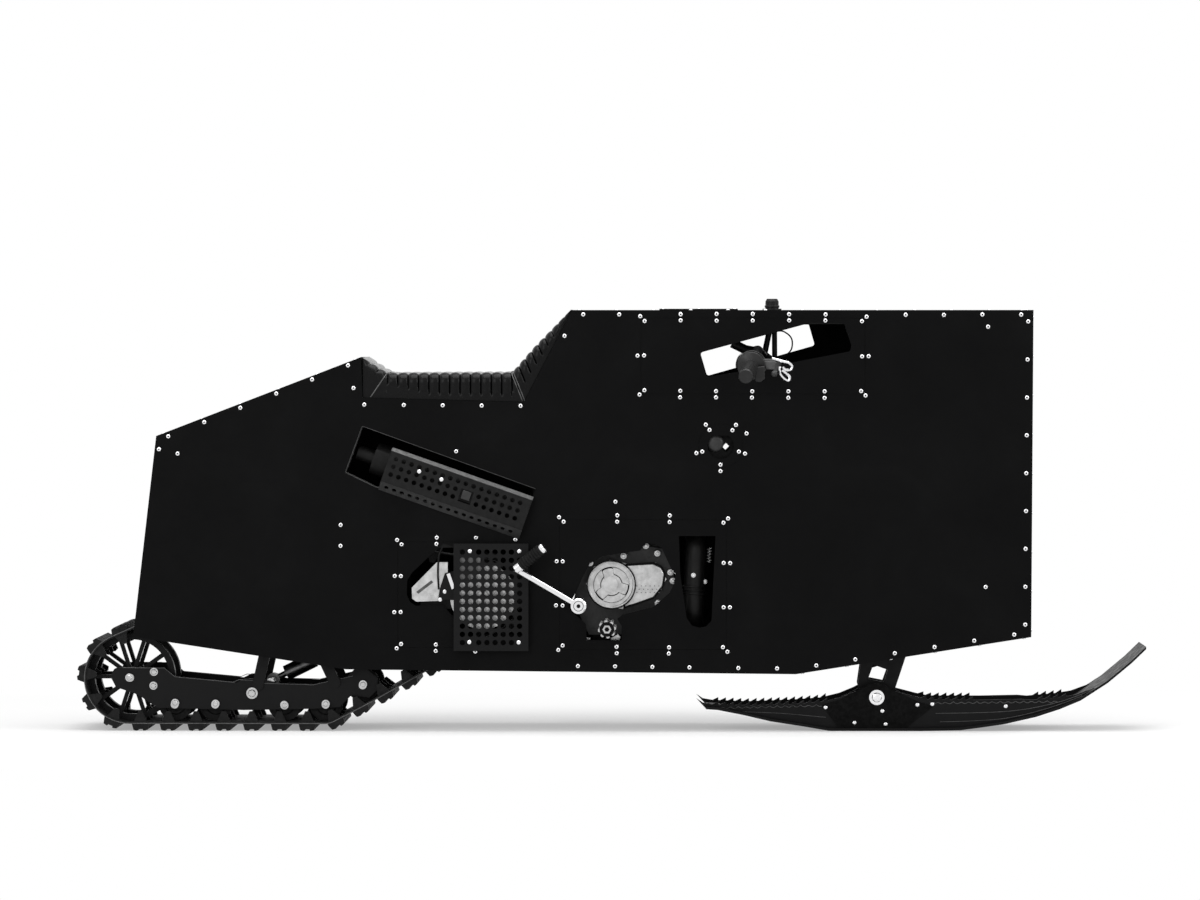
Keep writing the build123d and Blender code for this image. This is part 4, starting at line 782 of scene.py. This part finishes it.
# Shield sheet, in its own millimetres: u along it from its rear corner, v down it
SHIELD_REAR, SHIELD_FRONT = Vector((-501, 0, 657)), Vector((-177, 0, 543))
RUN = (SHIELD_FRONT - SHIELD_REAR).normalized()
DOWN = Vector((RUN.z, 0, -RUN.x))
SHIELD_LENGTH, SHIELD_FACE = 343.4, -186
FACE_TOP, FACE_FOOT, FOLD_WIDTH = 7.6, 81, 30
PITCH, FIRST, COLUMNS = 18.9, 16.45, 17
ROWS, FOLD_ROW = (22.2, 41.1, 60.0), 15
HOLE, FOLD_HOLE, SQUARE_HALF = 5.5, 5.3, 15
SOCKET_COLUMNS, SOCKET_CENTRE, CAP_CENTRE = (9, 10), (196, 50.55), (196, 48)


def on_shield(run, down, y):
    p = SHIELD_REAR + RUN * run + DOWN * down
    return W(p.x, y, p.z)


def on_face(u, v):
    return on_shield(u, v, SHIELD_FACE)


def on_lower_fold(u, v):
    """The fold under the face, which turns inward at 45 degrees."""
    return on_shield(u, FACE_FOOT + v * 0.7071, SHIELD_FACE + v * 0.7071)


def sheet_cell(place, u, v, half, hole, segs=16):
    """Square cell with a round hole of that radius, or a square one where hole is None."""
    outer, inner = [], []
    for k in range(segs):
        a = 2 * math.pi * k / segs
        c, n = math.cos(a), math.sin(a)
        to_square = 1 / max(abs(c), abs(n))
        reach = hole or SQUARE_HALF * to_square
        outer.append(place(u + c * half * to_square, v + n * half * to_square))
        inner.append(place(u + c * reach, v + n * reach))
    return outer + inner, [(k, (k + 1) % segs, segs + (k + 1) % segs, segs + k) for k in range(segs)]


def sheet_frame(place, top, first_row, last_row, foot):
    """Plain sheet round the cells: above them, at both ends and below them."""
    ends = (0, FIRST - PITCH / 2, FIRST + PITCH * (COLUMNS - 0.5), SHIELD_LENGTH)
    boxes = ((0, SHIELD_LENGTH, top, first_row), (ends[0], ends[1], first_row, last_row),
             (ends[2], ends[3], first_row, last_row), (0, SHIELD_LENGTH, last_row, foot))
    return [([place(u0, v0), place(u1, v0), place(u1, v1), place(u0, v1)], [(0, 1, 2, 3)])
            for u0, u1, v0, v1 in boxes]


cells, fold_cells = [], []
for column in range(COLUMNS):
    u = FIRST + PITCH * column
    for v in ROWS:
        if column not in SOCKET_COLUMNS or v == ROWS[0]:
            cells.append(sheet_cell(on_face, u, v, PITCH / 2, HOLE))
    fold_cells.append(sheet_cell(on_lower_fold, u, FOLD_ROW, PITCH / 2, FOLD_HOLE))
cells.append(sheet_cell(on_face, *SOCKET_CENTRE, PITCH, None))
cells += sheet_frame(on_face, FACE_TOP, ROWS[0] - PITCH / 2, ROWS[-1] + PITCH / 2, FACE_FOOT)
fold_cells += sheet_frame(on_lower_fold, 0, FOLD_ROW - PITCH / 2, FOLD_ROW + PITCH / 2, FOLD_WIDTH)
shield = joined("shield_sheet", cells, M["shield"], "chassis", angle=25)
# The lower fold takes a lighter grey than the face: painted highlight where light falls on the fold
lower = joined("shield_lower_fold", fold_cells, M["dark_cast"], "chassis", angle=25)
for sheet_piece in (shield, lower):
    solid = sheet_piece.modifiers.new("thick", "SOLIDIFY")
    solid.thickness = 0.0018
    solid.offset = 0
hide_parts("muffler_shield")

# Top fold of the shield, lighter grey as a painted highlight where light falls on it: its section as (v, y),
# both in mm
TOP_FOLD = ((0.0, -157), (0.0, -178.5), (7.6, -186.6), (7.6, -185.0), (1.6, -177), (1.6, -157))
n = len(TOP_FOLD)
fold_verts = [on_shield(run, down, y) for run in (0.0, SHIELD_LENGTH) for down, y in TOP_FOLD]
fold_faces = [(k, (k + 1) % n, n + (k + 1) % n, n + k) for k in range(n)]
fold_faces += [tuple(range(n - 1, -1, -1)), tuple(range(n, 2 * n))]
joined("shield_fold", [(fold_verts, fold_faces)], M["edge"], "chassis", angle=25)


def shield_square(half, y0, y1):
    """Square block in the shield's socket, between two y levels (mm)."""
    u, v = CAP_CENTRE
    corners = ((-1, -1), (1, -1), (1, 1), (-1, 1))
    return slab([on_shield(u + a * half, v + b * half, 0) for a, b in corners], y0 / 1000, y1 / 1000)


# Near-black square round the cap: painted shade in the socket
joined("shield_socket", [shield_square(15.0, -186.5, -185.9)], M["black_and_shade"], "chassis")
joined("shield_socket_cap", [shield_square(10.0, -188.0, -186.4)], M["dark_cast"], "chassis", bevel=0.0008)

# Sheet lining of the exhaust opening, in lighter grey as a painted highlight on its lit edge: corners x, z in
# mm
LINING = [(-172, 562), (-573, 707), (-613, 599), (-545, 566), (-215, 470)]
LINING_THICK = 0.0015
walls = []
for (ax, az), (bx, bz) in zip(LINING, LINING[1:]):
    inward = Vector((bz - az, 0, -(bx - ax))).normalized() * -LINING_THICK
    a, b = W(ax, 0, az), W(bx, 0, bz)
    walls.append(slab([a, b, b + inward, a + inward], -0.1566, -0.108))
joined("recess_lining", walls, M["edge"], "chassis", angle=30)

# Bolts of the running gear and the ski: (pixel, pixel, y in mm)
RAIL_FACE, WHEEL_FACE = -113.2, -105.2
TRACK_BOLTS = [(127.8, 678.5, RAIL_FACE), (173.8, 703.8, RAIL_FACE), (214.3, 704.6, RAIL_FACE),
               (283.6, 706.2, RAIL_FACE), (325, 704.6, RAIL_FACE), (362.4, 685, RAIL_FACE),
               (152.5, 672.7, WHEEL_FACE), (152, 686.6, WHEEL_FACE)]
SKI_SCREWS = [(825.7, 707.5), (917.5, 704.8), (932.4, 704.1), (854.6, 722.9), (885.8, 724.3), (882.5, 711.1),
              (1005.7, 706.2)]
SKI_FACE = -80.2
SKI_PIN = W(615, SKI_FACE, 76.5)
track_bolts, ski_bolts = [], []
for px, py, y in TRACK_BOLTS:
    track_bolts += on_both_sides(hex_bolt(0.0062, 0.006, 1.5), P(px, py, y), px)
track_bolts += on_both_sides(hex_bolt(0.0085, 0.008, 1.55), P(251, 694, -111.4), 0.4)
joined("track_bolts", track_bolts, M["steel"], "chassis")
for px, py in SKI_SCREWS:
    ski_bolts += on_both_sides(HEAD, P(px, py, SKI_FACE), px)
ski_bolts += on_both_sides(hex_bolt(0.011, 0.009, 1.6), SKI_PIN, 0.3)
joined("ski_bolts", ski_bolts, M["screw"], "ski_body", angle=40)

# Track: belt round its five circles (centre x, z and radius in mm), with notched lugs, cogs and side teeth
LOOP = (((-1114, 122), 101), ((-622, 414.58), 30), ((-295, 313), 81.996), ((-575, 105), 39), ((-661, 60), 39))
LUGS, BELT_HALF, BAND, BELT_STEPS = 36, 125.0, 5.0, 288
LUG_SHAPE = [(-20, 3.5), (20, 3.5), (18.5, 10), (16, 18.8), (12, 20.2), (7, 21), (5, 17), (-5, 17), (-7, 21),
             (-12, 20.2), (-16, 18.8), (-18.5, 10)]
LUG_SPANS = ((-124, -92), (-84, -48), (-40, 40), (48, 84), (92, 124))
TOOTH_SHAPE = [(-16, 1.5), (16, 1.5), (5, -24), (-5, -24)]
COG_SHAPE = [(-15, 1.5), (15, 1.5), (3, -25), (-3, -25)]
TEETH = ((-118, TOOTH_SHAPE), (-34, COG_SHAPE), (34, COG_SHAPE), (118, TOOTH_SHAPE))
TOOTH_HALF = 5
LINE_OUT, LINE_IN = 1.2, 0.6
spans = []
for ((ax, az), ra), ((bx, bz), rb) in zip(LOOP, LOOP[1:] + LOOP[:1]):
    tangent = math.atan2(bz - az, bx - ax) + math.acos((ra - rb) / math.hypot(bx - ax, bz - az))
    c, s = math.cos(tangent), math.sin(tangent)
    spans.append(((ax + ra * c, az + ra * s), (bx + rb * c, bz + rb * s)))
track_parts = []
for k, (start, stop) in enumerate(spans):
    track_parts.append((math.dist(start, stop), start, stop, None))
    (cx, cz), radius = LOOP[(k + 1) % len(LOOP)]
    after = spans[(k + 1) % len(LOOP)][0]
    turn = math.atan2(stop[1] - cz, stop[0] - cx) - math.atan2(after[1] - cz, after[0] - cx)
    track_parts.append((radius * (turn % (2 * math.pi)), (cx, cz), stop, radius))
belt_length = sum(part[0] for part in track_parts)
lug_pitch = belt_length / LUGS
phase = sum(part[0] for part in track_parts[:3]) % lug_pitch


def belt_at(reach):
    """Point and outward direction on the belt's inner face at a distance along it."""
    reach %= belt_length
    for length, first, second, radius in track_parts:
        if reach <= length:
            break
        reach -= length
    if radius is None:
        u = ((second[0] - first[0]) / length, (second[1] - first[1]) / length)
        return (first[0] + u[0] * reach, first[1] + u[1] * reach), (-u[1], u[0])
    a = math.atan2(second[1] - first[1], second[0] - first[0]) - reach / radius
    return (first[0] + radius * math.cos(a), first[1] + radius * math.sin(a)), (math.cos(a), math.sin(a))


def belt_prism(reach, shape, y0, y1):
    """Prism standing on the belt; its shape gives (along, out) in mm from the inner face."""
    (x, z), (nx, nz) = belt_at(reach)
    pts = [W(x + nx * out + nz * run, 0, z + nz * out - nx * run) for run, out in shape]
    return slab(pts, y0 / 1000, y1 / 1000)


band_verts, edge_lines = [], ([], [])
for k in range(BELT_STEPS):
    (x, z), (nx, nz) = belt_at(belt_length * k / BELT_STEPS)
    for y, out in ((-BELT_HALF, 0), (-BELT_HALF, BAND), (BELT_HALF, BAND), (BELT_HALF, 0)):
        band_verts.append(W(x + nx * out, y, z + nz * out))
    out = BAND - LINE_OUT
    for side, edge_line in zip((-1, 1), edge_lines):
        edge_line.append(W(x + nx * out, side * (BELT_HALF - LINE_IN), z + nz * out))
band_faces = []
for k in range(BELT_STEPS):
    here, there = k * 4, (k + 1) % BELT_STEPS * 4
    band_faces += [(here + j, here + (j + 1) % 4, there + (j + 1) % 4, there + j) for j in range(4)]
lugs = [(band_verts, band_faces)]
for k in range(LUGS):
    reach = k * lug_pitch + phase
    lugs += [belt_prism(reach, LUG_SHAPE, y0, y1) for y0, y1 in LUG_SPANS]
    lugs += [belt_prism(reach, shape, y - TOOTH_HALF, y + TOOTH_HALF) for y, shape in TEETH]
belt = joined("lugged_belt", lugs, M["track"], "chassis", angle=30)
faces_outward(belt)
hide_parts("track")
# Thin lighter lines along the belt's side edges: painted highlight
belt_edges = [tube(edge_line + edge_line[:1], 0.0012, 6) for edge_line in edge_lines]
joined("belt_edges", belt_edges, M["edge"], "chassis")

# Lighter lines along the upper edges of the rails: painted highlight
RAIL_EDGE = [(121, 668.5), (163, 668.8), (173.5, 677.6), (232, 683), (238, 680.4), (256, 681.5), (262, 684),
             (313, 685.4), (352, 676.6)]
rail_lines = [tube([at_y(p, side * 0.1052) for p in trace(RAIL_EDGE, -105)], 0.0009, 6) for side in (-1, 1)]
joined("rail_edges", rail_lines, M["piping_and_highlight"], "chassis")

# Side plates of the ski, and its scalloped edge and ribs as thin lighter lines: painted highlight
SKI_PLATE = [(822, 705), (838.5, 728.5), (894, 731.5), (906, 728.5), (934, 706), (919, 702), (897, 692),
             (882, 684), (870, 684), (858, 690), (840, 700)]
SKI_RIBS = ([(738, 712), (780, 713.5), (826, 717.5)],
            [(936, 713.5), (1010, 711), (1060, 701.5), (1097, 687.5)],
            [(940, 722), (1000, 719), (1045, 709), (1083, 695.5)])
SCALLOPED = (((715, 707.2), (822, 704.4)), ((930, 701.9), (1058, 700.2)))
SCALLOP_STEPS, SCALLOP_PITCH, SCALLOP_DEPTH = 60, 7.8, 2.2
ski_rows = []
for first, last in SCALLOPED:
    edge = [line(first, last, k / SCALLOP_STEPS) for k in range(SCALLOP_STEPS + 1)]
    waves = [SCALLOP_DEPTH * abs(math.sin(math.pi * (px - first[0]) / SCALLOP_PITCH)) for px, py in edge]
    ski_rows.append(trace([(px, py + wave) for (px, py), wave in zip(edge, waves)], -79))
ski_rows += [smooth_line(trace(rib, -79), 8) for rib in SKI_RIBS]
plates = [slab(trace(SKI_PLATE, -80), side * 0.0781, side * 0.0800) for side in (-1, 1)]
ski_lines = [tube([at_y(p, side * 0.0785) for p in row], 0.0008, 6) for side in (-1, 1) for row in ski_rows]
joined("ski_side_plates", plates, M["black_and_shade"], "ski_body")
joined("ski_edges", ski_lines, M["edge"], "ski_body")

# Inside of the round window: a cup with a square hole, near-black as painted shade, and a tank behind it
EYE = P(721, 448, -152)
CUP_RADIUS, CUP_HOLE, CUP_HOLE_SHIFT = 0.036, 0.0105, Vector((0.0115, 0, 0.001))
CUP_RIM = revolve([(0.034, 0), (0.036, 0), (0.036, 0.010), (0.034, 0.010)], 40)
TANK = revolve([(0.021, 0), (0.0195, 0.003), (0.015, 0.0055), (0.008, 0.007), (0, 0.0075)])
TANK_SHIFT = Vector((-0.014, 0, 0.012))


def holed_plate(y0, y1):
    """Round plate of the cup with its square hole standing on a corner."""
    count = 32
    outer, inner = [], []
    for k in range(count):
        a = 2 * math.pi * k / count
        way = Vector((math.cos(a), 0, math.sin(a)))
        outer.append(EYE + CUP_RADIUS * way)
        inner.append(EYE + CUP_HOLE / (abs(way.x) + abs(way.z)) * way + CUP_HOLE_SHIFT)
    verts = [at_y(p, y) for y in (y0, y1) for ring in (outer, inner) for p in ring]
    faces = []
    for k in range(count):
        j = (k + 1) % count
        for a, b in ((0, 1), (1, 3), (3, 2), (2, 0)):
            faces.append((a * count + k, a * count + j, b * count + j, b * count + k))
    return verts, faces


cups, tanks = [], []
for side in (-1, 1):
    cups.append(holed_plate(side * 0.1465, side * 0.1485))
    cups.append(placed(CUP_RIM, at_y(EYE, side * 0.1467), (0, side, 0)))
    tanks.append(placed(TANK, at_y(EYE + TANK_SHIFT, side * 0.1483), (0, side, 0)))
joined("porthole_cups", cups, M["black_and_shade"], "chassis")
joined("porthole_tanks", tanks, M["dark_cast"], "chassis")

# Lower clamps of the engine mount, and two bolts and a spring beside the header
CLAMPS = ([(582.5, 638.6), (590.3, 638), (590.3, 641), (582.5, 641)],
          [(611, 638.4), (618, 634.6), (620.5, 637), (619.6, 641.3), (611, 641.3)])
SPRING_START, SPRING_WIDTH, SPRING_DEPTH = (709.5, 548, -112), 2.6, 5
SPRING_POINTS, SPRING_TURN, SPRING_RISE = 36, 0.9, 0.42
small = [flat_plate(pixels, -121.5, 12) for pixels in CLAMPS]
small += [placed(CASE_BOLT, at, RIGHT) for at in trace([(705.4, 581.8), (693.5, 603)], -118)]
spring = []
for k in range(SPRING_POINTS):
    a = k * SPRING_TURN
    px, py, y = SPRING_START
    spring.append(P(px + SPRING_WIDTH * math.cos(a), py + k * SPRING_RISE, y + SPRING_DEPTH * math.sin(a)))
small.append(tube(spring, 0.0008, 6))
joined("engine_small_parts", small, M["steel"], "chassis", bevel=0.0006)

# Brake: groove of the case, held cable, and the caliper's plate, strip and screws
GROOVE = [(415.8, 592.2), (431.0, 580.6), (433.0, 582.6), (418.0, 594.2)]
BRAKE_CABLE = [(444.5, 543.5, -154), (440.5, 551, -155), (438.4, 558, -156), (437.6, 572.8, -156),
               (438.4, 589.7, -155)]
CALIPER = [(444.5, 573.6), (453.9, 571.3), (453.9, 600.4), (437.8, 600.4), (439.3, 589.7)]
CALIPER_STRIP = [(446.3, 574.5), (449.5, 573.4), (454.5, 588), (451.5, 589.7)]
CALIPER_SCREWS, CALIPER_FACE = [(444.5, 592), (439.8, 600)], -157
joined("case_groove", [flat_plate(GROOVE, -152.5, 2)], M["edge"], "chassis")
brake_cable = smooth_line([P(*point) for point in BRAKE_CABLE], 6)
joined("brake_cable", [tube(brake_cable, 0.0022, 8)], M["rubber"], "chassis")
joined("caliper_plate", [flat_plate(CALIPER, CALIPER_FACE, 4)], M["frame"], "chassis", bevel=0.0008)
strip = [flat_plate(CALIPER_STRIP, -158.2, 1.3)]
strip += [placed(HEAD, at, RIGHT) for at in trace(CALIPER_SCREWS, CALIPER_FACE)]
joined("caliper_strip", strip, M["chrome"], "chassis", angle=50)

# Fittings of the handlebar that show through the window: points, and a radius in metres
FITTINGS = (([(769.2, 331.5, -40), (764.6, 353.5, -40)], 0.0068),
            ([(774.4, 332, -46), (774.6, 357.5, -46)], 0.0062),
            ([(732, 343, -60), (745, 349.5, -60), (758, 352, -60)], 0.011))
BAR_CABLE = [(775, 331.5, -46), (783.4, 331, NEAR), (790.3, 336.5, -60), (792.3, 343.4, -60),
             (790.3, 351, -60), (782.3, 357, -60), (774.6, 357, -46)]
HOOKS = ([(772, 358.4), (783, 361.5), (789, 363.2), (792, 366.5), (790.5, 369.8), (786, 369.8), (782.5, 367)],
         [(779.6, 366.5), (780, 373), (784, 378.3), (788.5, 380.6), (789.6, 377), (786.3, 373.4),
          (782, 370.3)])
SWITCH = [(755.5, 367), (764.5, 366), (765, 378.5), (761, 382), (755.5, 381.6)]
PERCH = [(764, 361.2), (774, 360.6), (779.5, 364), (779, 369.6), (766, 369.2)]
bars = [tube([P(*point) for point in points], radius, 18) for points, radius in FITTINGS]
joined("bar_fittings", bars, M["frame"], "steering")
bar_cable = smooth_line([P(*point) for point in BAR_CABLE], 6)
bar_cable[1:] = [at_y(q, -0.055) for q in bar_cable[1:]]
joined("bar_cable", [tube(bar_cable, 0.0018, 8)], M["rubber"], "steering")
hooks = [tube(smooth_line(trace(pixels, -338), 5), 0.0031, 10) for pixels in HOOKS]
joined("lever_hooks", hooks, M["chrome"], "steering")
joined("bar_switch", [flat_plate(SWITCH, -282, 20)], M["grip"], "steering", bevel=0.002)
joined("lever_perch", [flat_plate(PERCH, -262, 14)], M["edge"], "steering", bevel=0.0015)

# Thin lighter rims of the grips' flanges: painted highlight
RIM = revolve([(0.0322, 0.0), (0.0333, 0.0004), (0.0333, 0.0012), (0.0322, 0.0016)], 48)
RIM_INSET = 0.002
rims = []
for side in (-1, 1):
    way = Vector((GRIP_WAY.x, side * GRIP_WAY.y, GRIP_WAY.z))
    rims.append(placed(RIM, W(FLANGE.x, side * FLANGE.y, FLANGE.z) + way * RIM_INSET, way))
joined("flange_rims", rims, M["piping_and_highlight"], "steering")

# Top plate screws and the knob's ring
PLATE_X, PLATE_Y, PLATE_TOP = (119, 202, 285), (-37, 37), 976.8
KNOB, KNOB_RING = W(373, 0, 973.3), [(0.0158, 0.006), (0.0172, 0.007), (0.0172, 0.011), (0.0158, 0.012)]
plate = [placed(SMALL_HEAD, W(x, y, PLATE_TOP), UP, x) for x in PLATE_X for y in PLATE_Y]
joined("plate_screws", plate, M["screw"], "chassis", angle=50)
joined("knob_ring", [placed(revolve(KNOB_RING), KNOB, UP)], M["plastic"], "chassis")

# Camera, aimed at the middle of the photograph
CAMERA_AT, AIM, LENS = Vector((0.2056, -12.16, 0.881)), P(600, 450), 156.5
cam_data = bpy.data.cameras.new("camera")
cam = bpy.data.objects.new("camera", cam_data)
scene.collection.objects.link(cam)
cam.location = CAMERA_AT
cam.rotation_euler = (AIM - cam.location).to_track_quat("-Z", "Y").to_euler()
cam_data.sensor_width = 36
cam_data.lens = LENS
cam_data.clip_end = 100
scene.camera = cam


def worked_out(nt, operation, first, second):
    """Result of a math operation on two values."""
    n = add_node(nt, "ShaderNodeMath")
    n.operation = operation
    nt.links.new(first, n.inputs[0])
    nt.links.new(second, n.inputs[1])
    return n.outputs[0]


def seen_rays(nt):
    """1 for camera, glossy and transmission rays."""
    rays = add_node(nt, "ShaderNodeLightPath").outputs
    seen = worked_out(nt, "MAXIMUM", rays["Is Camera Ray"], rays["Is Glossy Ray"])
    return worked_out(nt, "MAXIMUM", seen, rays["Is Transmission Ray"])


def mix_shaders(nt, fac, first, second, output):
    """The second shader where fac is 1, the first where it is 0."""
    mix = add_node(nt, "ShaderNodeMixShader")
    nt.links.new(fac, mix.inputs["Fac"])
    nt.links.new(first.outputs[0], mix.inputs[1])
    nt.links.new(second.outputs[0], mix.inputs[2])
    nt.links.new(mix.outputs[0], nt.nodes[output].inputs["Surface"])


# Background: soft grey light, seen as white
world = bpy.data.worlds.new("world")
scene.world = world
world.use_nodes = True
wn = world.node_tree
grey = set_inputs(wn.nodes["Background"], Color=(0.9, 0.9, 0.9, 1), Strength=0.55)
white = add_node(wn, "ShaderNodeBackground", Color=(1, 1, 1, 1), Strength=1.0)
mix_shaders(wn, seen_rays(wn), grey, white, "World Output")


def area(name, loc, target, size, power):
    """Rectangular lamp of (width, height), aimed at a target."""
    d = bpy.data.lights.new(name, "AREA")
    d.shape = "RECTANGLE"
    d.size, d.size_y = size
    d.energy = power
    o = bpy.data.objects.new(name, d)
    scene.collection.objects.link(o)
    o.location = loc
    o.rotation_euler = (Vector(target) - Vector(loc)).to_track_quat("-Z", "Y").to_euler()


area("top_soft", (0.2, -0.6, 4.2), target=(0, 0, 0.4), size=(4.5, 3.0), power=150)
area("front_soft", (-2.5, -4.5, 2.6), target=(0, 0, 0.5), size=(3.0, 3.0), power=70)
area("nose_soft", (4.2, -2.2, 2.4), target=(0.3, 0, 0.4), size=(2.4, 2.4), power=60)

# Pale floor that keeps its shadow near the machine, and turns plain white away from it
FLOOR = [(-40, -12, 0), (40, -12, 0), (40, 60, 0), (-40, 60, 0)]
SHADOW_SHAPE = (0.3, 1, 0)
floor_mat, fnt, fb = new_mat("pale_floor", (0.93, 0.93, 0.93), rough=0.9, spec=0.0)
emit = add_node(fnt, "ShaderNodeEmission", Strength=1.0)
squeeze = add_node(fnt, "ShaderNodeMapping", Scale=SHADOW_SHAPE)
fnt.links.new(coords(fnt), squeeze.inputs["Vector"])
far = add_node(fnt, "ShaderNodeVectorMath")
far.operation = "LENGTH"
fnt.links.new(squeeze.outputs["Vector"], far.inputs[0])
away = span(fnt, far.outputs["Value"], 0.35, 1.0, 0.4, 1.3)
mix_shaders(fnt, worked_out(fnt, "MULTIPLY", away, seen_rays(fnt)), fb, emit, "Material Output")
floor = mesh_obj("floor", FLOOR, [(0, 1, 2, 3)], floor_mat, smooth=False)

scene.view_settings.view_transform = "Standard"
